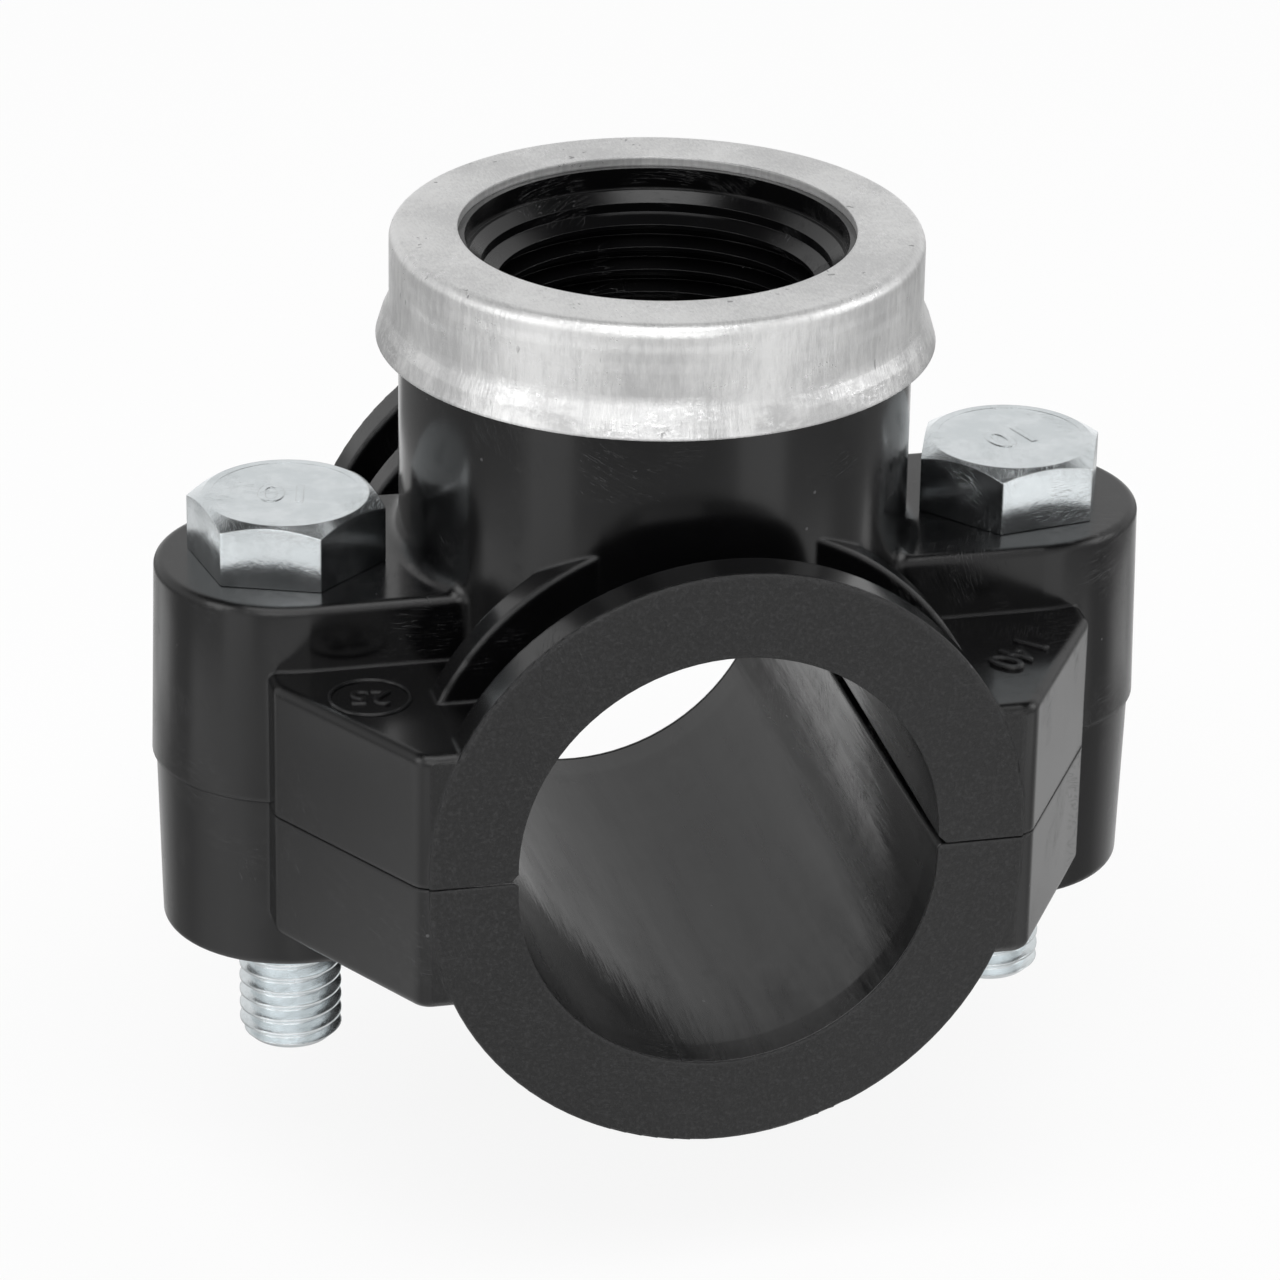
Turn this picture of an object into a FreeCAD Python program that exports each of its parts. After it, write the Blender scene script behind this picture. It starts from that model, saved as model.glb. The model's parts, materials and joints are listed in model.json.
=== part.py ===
import FreeCAD, Part
import Sketcher
import math
import os

# Tapping saddle for 40 mm plastic pipe with a one inch female outlet.
#
# Frame: the origin is the centre of the upper half's pipe bore at half its length.
# +Y runs along the pipe, +X across the two bolts and +Z up the outlet.
# The two halves are closed to the small gap that the bolts leave at rest.

os.makedirs("parts", exist_ok=True)
doc = FreeCAD.newDocument("TappingSaddle")
sheet = doc.addObject("Spreadsheet::Sheet", "Sizes")

SIZES = [
    ("bore_radius", 20.0, "pipe bore of both halves"),
    ("saddle_length", 66.0, "length of both halves along the pipe"),
    ("parting_overlap", 0.85, "how far each half reaches past its own bore axis"),
    ("parting_gap", 0.2, "gap that the bolts leave between the halves at rest"),
    ("edge_ease", 0.75, "chamfer along the upper bore's parting edges"),
    ("lower_edge_ease", 0.3, "chamfer along the lower bore's parting edges"),
    ("parting_sag", 1.0, "hollow of the lower parting face beside the bore"),
    ("shell_wall", 4.0, "wall of the plain shell round the pipe"),
    ("flange_wall", 8.3, "end flanges and ribs from the bore to their rim"),
    ("flange_width", 4.0, "thickness of an end flange"),
    ("rib_outer", 22.0, "outer face of a rib from the middle"),
    ("rib_width", 3.4, "thickness of a rib"),
    ("rim_round", 0.35, "rounding of the flange and rib rims"),
    ("tube_radius", 24.3, "outside of the outlet tube"),
    ("tube_top", 48.6, "height of the outlet tube"),
    ("tube_blend", 1.4, "fillet where the tube meets the bolt lugs"),
    ("bolt_spacing", 71.1, "distance between the bolt axes"),
    ("lug_radius", 13.0, "end radius of an upper lug at the parting plane"),
    ("lug_height", 18.95, "top of the upper lugs above the bore axis"),
    ("lower_lug_radius", 12.6, "end radius of a lower lug"),
    ("lower_lug_height", 16.9, "depth of the lower lugs below their bore axis"),
    ("lug_draft", 1.3, "draft of the lug sides in degrees"),
    ("lug_round", 0.8, "rounding of the lug rims"),
    ("gusset_height", 12.5, "top of the upper gussets above the bore axis"),
    ("lower_gusset_height", 11.6, "depth of the lower gussets below their bore axis"),
    ("gusset_outer", 39.5, "reach of a gusset beside the lug"),
    ("gusset_knee", 15.2, "where a gusset starts to run in, from the middle"),
    ("gusset_inner", 29.0, "reach of a gusset at the flange"),
    ("gusset_step", 0.3, "gusset's end behind the flange's end face"),
    ("gusset_corner", 2.2, "rounding of the gusset's upright corners"),
    ("gusset_round", 0.9, "rounding of the gusset's top rim"),
    ("thread_radius", 16.62, "outlet thread at its root, one inch pipe thread"),
    ("thread_depth", 1.47, "how far the outlet thread's ridges stand in from the root"),
    ("thread_flat", 0.385, "flat at a ridge's crest and between two ridges"),
    ("thread_end", 0.928, "plain wall above the last ridge"),
    ("thread_length", 19.4, "length of the outlet thread"),
    ("ledge_width", 1.08, "slanting ledge above the thread"),
    ("ledge_depth", 2.1, "ledge's outer edge below the tube's top"),
    ("ledge_drop", 0.9, "fall of the ledge towards the thread"),
    ("ledge_flat", 0.4, "flat between the ledge and the mouth's wall"),
    ("passage_radius", 11.5, "water way between the pipe and the thread"),
    ("passage_taper", 2.0, "height over which the water way widens to the thread"),
    ("seal_lip", 1.1, "plastic between the water way and the outlet seal"),
    ("seal_width", 3.0, "width of the outlet seal"),
    ("seal_depth", 2.6, "depth of the seal in the shell"),
    ("seal_gap", 0.05, "gap round the seal in its seat"),
    ("bore_land", 3.8, "plain land at each end of the bore, outside its slight belly"),
    ("belly_rise", 0.3, "how much wider the bore is in the middle of that belly"),
    ("shank_radius", 5.0, "bolt shank, M10"),
    ("hole_gap", 0.5, "gap round a bolt in its hole through a lug"),
    ("bolt_length", 51.0, "bolt under its head"),
    ("head_flats", 16.55, "across the flats of head and nut"),
    ("head_height", 6.35, "height of the bolt head"),
    ("head_bevel", 0.425, "flat circle on head and nut inside their flats"),
    ("chamfer_slope", 0.577, "rise of the head chamfer per millimetre"),
    ("tip_chamfer", 0.9, "chamfer at the bolt's tip"),
    ("left_turn", -20.1, "turn of the left bolt head in degrees"),
    ("right_turn", 9.7, "turn of the right bolt head in degrees"),
    ("nut_height", 8.0, "height of a nut"),
    ("nut_gap", 0.05, "gap round a bolt in its nut, whose thread is a plain hole"),
    ("nut_inset", 0.6, "nut above the lower lug's underside"),
    ("pocket_gap", 0.15, "gap round the nut in its pocket"),
    ("ring_sheet", 0.9, "sheet of the reinforcing ring"),
    ("ring_inset", 0.66, "hole in the ring's top outside the mouth's wall"),
    ("ring_skirt", 9.7, "lower rim of the ring below the tube's top"),
    ("ring_flare", 1.25, "how far the skirt flares out"),
    ("flare_length", 3.3, "height of the skirt's flared part"),
    ("ring_shoulder", 1.15, "rounding of the ring's shoulder"),
]

for row, (alias, value, note) in enumerate(SIZES, start=1):
    sheet.set("A%d" % row, note)
    sheet.set("B%d" % row, repr(value))
    sheet.setAlias("B%d" % row, alias)
doc.recompute()


def size(alias):
    """Value of a named size in the sheet."""
    return float(sheet.get(alias))


def value_of(text):
    """Number that a size expression stands for."""
    found = sheet.evalExpression(text.replace("Sizes.", ""))
    return float(getattr(found, "Value", found))


def new_body(name):
    """Empty body named in plain words."""
    body = doc.addObject("PartDesign::Body", name)
    body.Label = name
    return body


def plane_of(body, role):
    """Origin plane of a body by its role."""
    return [item for item in body.Origin.OriginFeatures if item.Role == role][0]


def sketch_on(body, name, role, lift=None):
    """Sketch on an origin plane, lifted along the plane's normal if asked."""
    sketch = body.newObject("Sketcher::SketchObject", name)
    sketch.AttachmentSupport = [(plane_of(body, role), "")]
    sketch.MapMode = "FlatFace"
    if lift:
        sketch.setExpression("AttachmentOffset.Base.z", lift)
    doc.recompute()
    return sketch


def pin_point(sketch, line, end, across, along):
    """Hold one end of a line at the place that two size expressions give."""
    for kind, axis, text in (("DistanceX", -2, across), ("DistanceY", -1, along)):
        if text == "0":
            sketch.addConstraint(Sketcher.Constraint("PointOnObject", line, end, axis))
        else:
            number = sketch.addConstraint(
                Sketcher.Constraint(kind, -1, 1, line, end, value_of(text)))
            sketch.setExpression("Constraints[%d]" % number, text)


def closed_outline(sketch, corners):
    """Closed outline of straight lines through corners given as size expressions."""
    spots = [FreeCAD.Vector(value_of(x), value_of(y), 0) for x, y in corners]
    count = len(spots)
    lines = []
    for index in range(count):
        segment = Part.LineSegment(spots[index], spots[(index + 1) % count])
        lines.append(sketch.addGeometry(segment, False))
    for index in range(count):
        sketch.addConstraint(Sketcher.Constraint(
            "Coincident", lines[index], 2, lines[(index + 1) % count], 1))
    for line, (x, y) in zip(lines, corners):
        pin_point(sketch, line, 1, x, y)
    doc.recompute()


def circle_in(sketch, radius):
    """Circle round the sketch's origin."""
    ring = sketch.addGeometry(
        Part.Circle(FreeCAD.Vector(0, 0, 0), FreeCAD.Vector(0, 0, 1), value_of(radius)), False)
    sketch.addConstraint(Sketcher.Constraint("Coincident", ring, 3, -1, 1))
    number = sketch.addConstraint(Sketcher.Constraint("Radius", ring, value_of(radius)))
    sketch.setExpression("Constraints[%d]" % number, radius)
    doc.recompute()


def slot_in(sketch, radius, half_spacing):
    """Slot with round ends centred on the two bolt axes."""
    r = value_of(radius)
    b = value_of(half_spacing)
    up = FreeCAD.Vector(0, 0, 1)
    right = sketch.addGeometry(Part.ArcOfCircle(
        Part.Circle(FreeCAD.Vector(b, 0, 0), up, r), -math.pi / 2, math.pi / 2), False)
    top = sketch.addGeometry(
        Part.LineSegment(FreeCAD.Vector(b, r, 0), FreeCAD.Vector(-b, r, 0)), False)
    left = sketch.addGeometry(Part.ArcOfCircle(
        Part.Circle(FreeCAD.Vector(-b, 0, 0), up, r), math.pi / 2, 3 * math.pi / 2), False)
    bottom = sketch.addGeometry(
        Part.LineSegment(FreeCAD.Vector(-b, -r, 0), FreeCAD.Vector(b, -r, 0)), False)
    for first, second, one, two in (
            (right, top, 2, 1), (top, left, 2, 1), (left, bottom, 2, 1), (bottom, right, 2, 1)):
        sketch.addConstraint(Sketcher.Constraint("Tangent", first, one, second, two))
    for arc, sign in ((right, ""), (left, "-")):
        sketch.addConstraint(Sketcher.Constraint("PointOnObject", arc, 3, -1))
        number = sketch.addConstraint(Sketcher.Constraint(
            "DistanceX", -1, 1, arc, 3, value_of(sign + half_spacing)))
        sketch.setExpression("Constraints[%d]" % number, sign + half_spacing)
    number = sketch.addConstraint(Sketcher.Constraint("Radius", right, r))
    sketch.setExpression("Constraints[%d]" % number, radius)
    doc.recompute()


def hexagon_in(sketch, flats):
    """Hexagon with a corner on the sketch's own X axis."""
    corner = value_of(flats) / math.sqrt(3)
    spots = [FreeCAD.Vector(corner * math.cos(math.radians(60 * k)),
                            corner * math.sin(math.radians(60 * k)), 0) for k in range(6)]
    lines = [sketch.addGeometry(Part.LineSegment(spots[k], spots[(k + 1) % 6]), False)
             for k in range(6)]
    guide = sketch.addGeometry(Part.Circle(
        FreeCAD.Vector(0, 0, 0), FreeCAD.Vector(0, 0, 1), corner), True)
    sketch.addConstraint(Sketcher.Constraint("Coincident", guide, 3, -1, 1))
    for k in range(6):
        sketch.addConstraint(Sketcher.Constraint("Coincident", lines[k], 2, lines[(k + 1) % 6], 1))
        sketch.addConstraint(Sketcher.Constraint("PointOnObject", lines[k], 1, guide))
    for k in range(5):
        sketch.addConstraint(Sketcher.Constraint("Equal", lines[k], lines[k + 1]))
    sketch.addConstraint(Sketcher.Constraint("PointOnObject", lines[0], 1, -1))
    number = sketch.addConstraint(Sketcher.Constraint("Radius", guide, corner))
    sketch.setExpression("Constraints[%d]" % number, "(" + flats + ") / sqrt(3)")
    doc.recompute()


def pad(body, name, sketch, length, draft=None, down=False):
    """Pad a sketch by a size expression, with a draft if asked."""
    feature = body.newObject("PartDesign::Pad", name)
    feature.Profile = sketch
    feature.Reversed = down
    feature.setExpression("Length", length)
    if draft:
        feature.setExpression("TaperAngle", draft)
    doc.recompute()
    return feature


def turn(body, name, sketch, axis, cut=False):
    """Revolve a sketch, or groove the body with it, about one of its axes."""
    kind = "PartDesign::Groove" if cut else "PartDesign::Revolution"
    feature = body.newObject(kind, name)
    feature.Profile = sketch
    feature.ReferenceAxis = (sketch, [axis])
    feature.Angle = 360
    doc.recompute()
    return feature


def edges_where(shape, test):
    """Names of the edges that a test picks by their middle point."""
    names = []
    for number, edge in enumerate(shape.Edges, start=1):
        first, last = edge.ParameterRange
        if test(edge, edge.valueAt((first + last) / 2)):
            names.append("Edge%d" % number)
    return names


def round_edges(body, name, test, radius, kind="PartDesign::Fillet"):
    """Fillet or chamfer the edges of a body's last feature that a test picks."""
    base = body.Tip
    feature = body.newObject(kind, name)
    feature.Base = (base, edges_where(base.Shape, test))
    feature.setExpression("Size" if kind.endswith("Chamfer") else "Radius", radius)
    doc.recompute()
    return feature


def near(value, target, slack=0.02):
    """Whether two lengths agree."""
    return abs(value - target) < slack


def cylinder(name, radius, height, base, axis="z"):
    """Cylinder with bound radius and height, its base point as three expressions."""
    form = doc.addObject("Part::Cylinder", name)
    form.setExpression("Radius", radius)
    form.setExpression("Height", height)
    if axis == "y":
        form.Placement.Rotation = FreeCAD.Rotation(FreeCAD.Vector(1, 0, 0), -90)
    if axis == "x":
        form.Placement.Rotation = FreeCAD.Rotation(FreeCAD.Vector(0, 1, 0), 90)
    for letter, text in zip("xyz", base):
        if text != "0":
            form.setExpression("Placement.Base." + letter, text)
    return form


def block(name, sizes, base):
    """Box with bound sides, its low corner as three expressions."""
    form = doc.addObject("Part::Box", name)
    for side, text in zip(("Length", "Width", "Height"), sizes):
        form.setExpression(side, text)
    for letter, text in zip("xyz", base):
        if text != "0":
            form.setExpression("Placement.Base." + letter, text)
    return form


def fused(name, forms):
    """Union of several forms."""
    result = doc.addObject("Part::MultiFuse", name)
    result.Shapes = forms
    result.Refine = True
    doc.recompute()
    return result


def cut(name, base, tool):
    """Base with the tool taken out."""
    result = doc.addObject("Part::Cut", name)
    result.Base = base
    result.Tool = tool
    result.Refine = True
    doc.recompute()
    return result


def carved(name, base, tools):
    """Base with several tools taken out one after another."""
    for number, tool in enumerate(tools[:-1], start=1):
        base = cut(name + "Cut%d" % number, base, tool)
    return cut(name, base, tools[-1])


def blended(name, base, test, radius):
    """Fillet of the picked edges of a form, bound to one radius."""
    result = doc.addObject("Part::Fillet", name)
    result.Base = base
    span = value_of(radius)
    result.Edges = [(int(edge[4:]), span, span) for edge in edges_where(base.Shape, test)]
    doc.recompute()
    return result


# Both halves: a ring with end flanges and ribs, a bar that makes the two bolt
# lugs, and a block that makes the four gussets between the lugs and the flanges.
# Each half is built with its own bore axis at height zero and its parting plane
# just below it. The lower half is then turned over and dropped.

OFFSET = "(2 * Sizes.parting_overlap + Sizes.parting_gap)"
SHELL = "(Sizes.bore_radius + Sizes.shell_wall)"
RIM = "(Sizes.bore_radius + Sizes.flange_wall)"
LENGTH = "Sizes.saddle_length"
HALF = "(Sizes.saddle_length / 2)"
SPACING = "Sizes.bolt_spacing / 2"
PARTING = "-Sizes.parting_overlap"
BELLY_HALF = "(Sizes.saddle_length / 2 - Sizes.bore_land)"
BELLY_ARC = "((%s ^ 2 + Sizes.belly_rise ^ 2) / (2 * Sizes.belly_rise))" % BELLY_HALF
HOLE = "(Sizes.shank_radius + Sizes.hole_gap)"
FLAT_CIRCLE = "(Sizes.head_flats / 2 - Sizes.head_bevel)"


def ring_form(prefix):
    """Shell with two flanges and two ribs, revolved about the pipe axis."""
    body = new_body(prefix + "Ring")
    sketch = sketch_on(body, prefix + "RingOutline", "YZ_Plane")
    flange_in = HALF + " - Sizes.flange_width"
    rib_in = "Sizes.rib_outer - Sizes.rib_width"
    shell = SHELL
    rim = RIM
    half_side = [
        (HALF, "0"), (HALF, rim), (flange_in, rim), (flange_in, shell),
        ("Sizes.rib_outer", shell), ("Sizes.rib_outer", rim), (rib_in, rim), (rib_in, shell)]
    mirrored = [("-(" + y + ")", z) for y, z in reversed(half_side)]
    closed_outline(sketch, half_side + mirrored)
    turn(body, prefix + "RingTurned", sketch, "H_Axis")
    rim_radius = value_of(RIM)
    round_edges(body, prefix + "RimRound",
                lambda edge, p: near(math.hypot(p.x, p.z), rim_radius) and
                edge.BoundBox.YLength < 0.01, "Sizes.rim_round")
    return body


def lug_form(prefix, radius, height):
    """Bar with round drafted ends that carries the two bolts."""
    body = new_body(prefix + "Lugs")
    sketch = sketch_on(body, prefix + "LugOutline", "XY_Plane", PARTING)
    slot_in(sketch, radius, SPACING)
    pad(body, prefix + "LugBar", sketch, height + " + Sizes.parting_overlap",
        draft="-Sizes.lug_draft")
    top = value_of(height)
    round_edges(body, prefix + "LugRound",
                lambda edge, p: near(p.z, top) and edge.BoundBox.ZLength < 0.01,
                "Sizes.lug_round")
    return body


def gusset_form(prefix, height):
    """Block whose four slanting corners are the gussets."""
    body = new_body(prefix + "Gussets")
    sketch = sketch_on(body, prefix + "GussetOutline", "XY_Plane", PARTING)
    outer = "Sizes.gusset_outer"
    inner = "Sizes.gusset_inner"
    knee = "Sizes.gusset_knee"
    end = "(" + HALF + " - Sizes.gusset_step)"
    closed_outline(sketch, [
        (outer, knee), (inner, end), ("-" + inner, end), ("-" + outer, knee),
        ("-" + outer, "-" + knee), ("-" + inner, "-" + end), (inner, "-" + end),
        (outer, "-" + knee)])
    pad(body, prefix + "GussetBlock", sketch, height + " + Sizes.parting_overlap")
    round_edges(body, prefix + "GussetCorners",
                lambda edge, p: edge.BoundBox.ZLength > size("gusset_height") / 2,
                "Sizes.gusset_corner")
    top = value_of(height)
    round_edges(body, prefix + "GussetRound",
                lambda edge, p: near(p.z, top) and edge.BoundBox.ZLength < 0.01,
                "Sizes.gusset_round")
    return body


def below_parting(prefix):
    """Everything under a half's parting plane."""
    wide = "Sizes.bolt_spacing * 2"
    return block(prefix + "BelowParting", (wide, wide, wide),
                 ("-Sizes.bolt_spacing", "-Sizes.bolt_spacing", PARTING + " - " + wide))


def pipe_bore(prefix):
    """Pipe bore through both ends."""
    return cylinder(prefix + "PipeBore", "Sizes.bore_radius", LENGTH + " + 4",
                    ("0", "-" + HALF + " - 2", "0"), axis="y")


def bore_belly(prefix):
    """Slight belly of the bore between its end lands, an arc revolved about the pipe axis."""
    body = new_body(prefix + "Belly")
    sketch = sketch_on(body, prefix + "BellyOutline", "YZ_Plane")
    half = value_of(BELLY_HALF)
    wall = size("bore_radius")
    rise = size("belly_rise")
    foot = [FreeCAD.Vector(-half, 0, 0), FreeCAD.Vector(half, 0, 0)]
    rim = [FreeCAD.Vector(-half, wall, 0), FreeCAD.Vector(half, wall, 0)]
    base = sketch.addGeometry(Part.LineSegment(foot[0], foot[1]), False)
    right = sketch.addGeometry(Part.LineSegment(foot[1], rim[1]), False)
    bow = sketch.addGeometry(Part.Arc(rim[1], FreeCAD.Vector(0, wall + rise, 0), rim[0]), False)
    left = sketch.addGeometry(Part.LineSegment(rim[0], foot[0]), False)
    first, last = arc_ends(sketch, bow, right)
    for one, end, other, start in (
            (base, 2, right, 1), (right, 2, bow, first), (bow, last, left, 1), (left, 2, base, 1)):
        sketch.addConstraint(Sketcher.Constraint("Coincident", one, end, other, start))
    pin_point(sketch, base, 1, "-" + BELLY_HALF, "0")
    pin_point(sketch, base, 2, BELLY_HALF, "0")
    pin_point(sketch, right, 2, BELLY_HALF, "Sizes.bore_radius")
    pin_point(sketch, left, 1, "-" + BELLY_HALF, "Sizes.bore_radius")
    number = sketch.addConstraint(Sketcher.Constraint("Radius", bow, value_of(BELLY_ARC)))
    sketch.setExpression("Constraints[%d]" % number, BELLY_ARC)
    turn(body, prefix + "BellyTurned", sketch, "H_Axis")
    return body


def arc_ends(sketch, arc, line):
    """Which end of an arc lies at the end of a line, and the other one."""
    corner = sketch.getPoint(line, 2)
    if sketch.getPoint(arc, 1).distanceToPoint(corner) < 0.001:
        return 1, 2
    return 2, 1


def eased_edge(prefix, side, sign, ease):
    """Prism that chamfers one parting edge of the bore."""
    body = new_body(prefix + side + "Ease")
    sketch = sketch_on(body, prefix + side + "EaseOutline", "XZ_Plane")
    wall = sign + "Sizes.bore_radius"
    out = sign + "(Sizes.bore_radius + " + ease + ")"
    inside = sign + "(Sizes.bore_radius - 1)"
    corners = [(out, PARTING + " - 1"), (out, PARTING), (wall, PARTING + " + " + ease),
               (inside, PARTING + " + " + ease), (inside, PARTING + " - 1")]
    closed_outline(sketch, corners)
    prism = pad(body, prefix + side + "EasePrism", sketch, LENGTH + " + 2")
    prism.Midplane = True
    doc.recompute()
    return body


def bolt_hole(prefix, side, sign):
    """Clearance hole for one bolt."""
    return cylinder(prefix + side + "Hole", HOLE, "Sizes.bolt_spacing",
                    (sign + SPACING, "0", "-Sizes.bolt_spacing / 2"))


def on_seam(edge, p):
    """Edge where the outlet tube runs into the bolt lugs above the gussets."""
    radius = math.hypot(p.x, p.y)
    return (near(radius, size("tube_radius")) and abs(p.x) > size("tube_radius") / 2
            and size("gusset_height") - 0.5 < p.z < size("lug_height") + 0.1)


# Upper half.
tube = cylinder("Tube", "Sizes.tube_radius", "Sizes.tube_top", ("0", "0", "0"))
upper_lugs = lug_form("Upper", "Sizes.lug_radius", "Sizes.lug_height")
upper_solid = fused("UpperSolid", [
    ring_form("Upper"), upper_lugs, gusset_form("Upper", "Sizes.gusset_height"), tube])
upper_blend = blended("UpperBlend", upper_solid, on_seam, "Sizes.tube_blend")

LEDGE = "(Sizes.tube_top - Sizes.ledge_depth)"
LEDGE_FOOT = "(" + LEDGE + " - Sizes.ledge_drop)"
THREAD_BOTTOM = "(" + LEDGE_FOOT + " - Sizes.thread_length)"
MOUTH = "(Sizes.thread_radius + Sizes.ledge_width + Sizes.ledge_flat)"
THREAD_RIDGES = 8
THREAD_PITCH = "((Sizes.thread_length - Sizes.thread_end) / %d)" % THREAD_RIDGES


def thread_outline():
    """Corners of the outlet's thread from bottom to top, its ridges drawn without lead."""
    root = "Sizes.thread_radius"
    crest = "(Sizes.thread_radius - Sizes.thread_depth)"
    slope = "(" + THREAD_PITCH + " / 2 - Sizes.thread_flat)"
    corners = []
    for ridge in range(THREAD_RIDGES):
        foot = "%s + %d * %s" % (THREAD_BOTTOM, ridge, THREAD_PITCH)
        corners += [
            (root, foot), (root, foot + " + Sizes.thread_flat"),
            (crest, foot + " + Sizes.thread_flat + " + slope),
            (crest, foot + " + " + THREAD_PITCH + " - " + slope)]
    corners.append((root, LEDGE_FOOT + " - Sizes.thread_end"))
    return corners


outlet = new_body("OutletHollow")
outlet_sketch = sketch_on(outlet, "OutletOutline", "XZ_Plane")
closed_outline(outlet_sketch, [
    ("0", "0"), ("Sizes.passage_radius", "0"),
    ("Sizes.passage_radius", THREAD_BOTTOM + " - Sizes.passage_taper")] + thread_outline() + [
    ("Sizes.thread_radius", LEDGE_FOOT),
    ("Sizes.thread_radius + Sizes.ledge_width", LEDGE),
    (MOUTH, LEDGE),
    (MOUTH, "Sizes.tube_top + 2"),
    ("0", "Sizes.tube_top + 2")])
turn(outlet, "OutletTurned", outlet_sketch, "V_Axis")


def seal_band(prefix, inner, outer, depth, pipe):
    """Ring round the outlet between a pipe radius and a depth in the shell."""
    reach = "Sizes.bore_radius + " + depth
    tall = reach + " + 4"
    around = cut(prefix + "Band", cylinder(prefix + "BandOuter", outer, tall, ("0", "0", "0")),
                 cylinder(prefix + "BandInner", inner, tall, ("0", "0", "0")))
    layer = cut(prefix + "Layer",
                cylinder(prefix + "Deep", reach, LENGTH, ("0", "-" + HALF, "0"), axis="y"),
                cylinder(prefix + "Pipe", pipe, LENGTH, ("0", "-" + HALF, "0"), axis="y"))
    common = doc.addObject("Part::Common", prefix)
    common.Base = around
    common.Tool = layer
    doc.recompute()
    return common


SEAL_INNER = "(Sizes.passage_radius + Sizes.seal_lip)"
SEAL_OUTER = "(Sizes.passage_radius + Sizes.seal_lip + Sizes.seal_width)"
seal_seat = seal_band("SealSeat", SEAL_INNER + " - Sizes.seal_gap",
                      SEAL_OUTER + " + Sizes.seal_gap", "Sizes.seal_depth",
                      "Sizes.bore_radius - 1")
upper = carved("UpperSaddle", upper_blend, [
    below_parting("Upper"), pipe_bore("Upper"), bore_belly("Upper"), outlet, seal_seat,
    eased_edge("Upper", "Left", "-", "Sizes.edge_ease"),
    eased_edge("Upper", "Right", "", "Sizes.edge_ease"),
    bolt_hole("Upper", "Left", "-"), bolt_hole("Upper", "Right", "")])
upper.Label = "upper_saddle"

# Lower half, with a hexagonal pocket for each nut and a parting face that is
# hollowed a little beside the bore.
lower_solid = fused("LowerSolid", [
    ring_form("Lower"), lug_form("Lower", "Sizes.lower_lug_radius", "Sizes.lower_lug_height"),
    gusset_form("Lower", "Sizes.lower_gusset_height")])
POCKET_DEPTH = "Sizes.nut_height + Sizes.nut_inset"


def nut_pocket(side, sign, turned):
    """Pocket for a nut in the lower lug's outer face."""
    body = new_body(side + "NutPocket")
    sketch = sketch_on(body, side + "PocketOutline", "XY_Plane")
    hexagon_in(sketch, "Sizes.head_flats + 2 * Sizes.pocket_gap")
    pad(body, side + "PocketDepth", sketch, POCKET_DEPTH + " + 1")
    body.setExpression("Placement.Base.x", sign + SPACING)
    body.setExpression("Placement.Base.z", "Sizes.lower_lug_height - (" + POCKET_DEPTH + ")")
    body.Placement.Rotation = FreeCAD.Rotation(FreeCAD.Vector(0, 0, 1), turned)
    doc.recompute()
    return body


SAG_RADIUS = "(Sizes.saddle_length ^ 2 / 4 + Sizes.parting_sag ^ 2) / (2 * Sizes.parting_sag)"
sag = doc.addObject("Part::Common", "PartingSag")
sag.Base = cylinder("SagArc", SAG_RADIUS, "2 * " + SHELL,
                    ("-" + SHELL, "0",
                     PARTING + " + Sizes.parting_sag - " + SAG_RADIUS), axis="x")
sag.Tool = block("SagReach", ("2 * " + SHELL, LENGTH, "4 * Sizes.parting_sag"),
                 ("-" + SHELL, "-" + HALF, PARTING + " - 2 * Sizes.parting_sag"))
doc.recompute()
lower = carved("LowerSaddle", lower_solid, [
    below_parting("Lower"), pipe_bore("Lower"), bore_belly("Lower"), sag,
    eased_edge("Lower", "Left", "-", "Sizes.lower_edge_ease"),
    eased_edge("Lower", "Right", "", "Sizes.lower_edge_ease"),
    bolt_hole("Lower", "Left", "-"), bolt_hole("Lower", "Right", ""),
    nut_pocket("Left", "-", 30), nut_pocket("Right", "", 30)])
lower.Label = "lower_saddle"
lower.Placement = FreeCAD.Placement(
    FreeCAD.Vector(0, 0, -value_of(OFFSET)),
    FreeCAD.Rotation(FreeCAD.Vector(0, 1, 0), 180))
lower.setExpression("Placement.Base.z", "-" + OFFSET)

# Outlet seal, drawn pressed flush with the pipe surface.
seal = seal_band("Seal", SEAL_INNER, SEAL_OUTER, "Sizes.seal_depth", "Sizes.bore_radius")
seal.Label = "outlet_seal"

# Reinforcing ring: a sheet cap over the tube's end with a flared skirt.
ring = new_body("ReinforcingRing")
ring.Label = "reinforcing_ring"
ring_sketch = sketch_on(ring, "RingSection", "XZ_Plane")
WALL = "Sizes.tube_radius + Sizes.ring_sheet"
TOP = "Sizes.tube_top + Sizes.ring_sheet"
RING_HOLE = MOUTH + " + Sizes.ring_inset"
SKIRT_END = "Sizes.tube_top - Sizes.ring_skirt"
FLARE = "(" + SKIRT_END + " + Sizes.flare_length)"
MID_FLARE = SKIRT_END + " + Sizes.flare_length / 2"
closed_outline(ring_sketch, [
    (RING_HOLE, TOP), (WALL, TOP), (WALL, FLARE),
    (WALL + " + 0.6 * Sizes.ring_flare", MID_FLARE),
    (WALL + " + Sizes.ring_flare", SKIRT_END),
    ("Sizes.tube_radius + Sizes.ring_flare", SKIRT_END),
    ("Sizes.tube_radius + 0.6 * Sizes.ring_flare", MID_FLARE),
    ("Sizes.tube_radius", FLARE), ("Sizes.tube_radius", "Sizes.tube_top"),
    (RING_HOLE, "Sizes.tube_top")])
turn(ring, "RingSheet", ring_sketch, "V_Axis")
round_edges(ring, "RingShoulder",
            lambda edge, p: near(p.z, value_of(TOP)) and
            near(math.hypot(p.x, p.y), value_of(WALL)) and edge.BoundBox.ZLength < 0.01,
            "Sizes.ring_shoulder")
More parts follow.
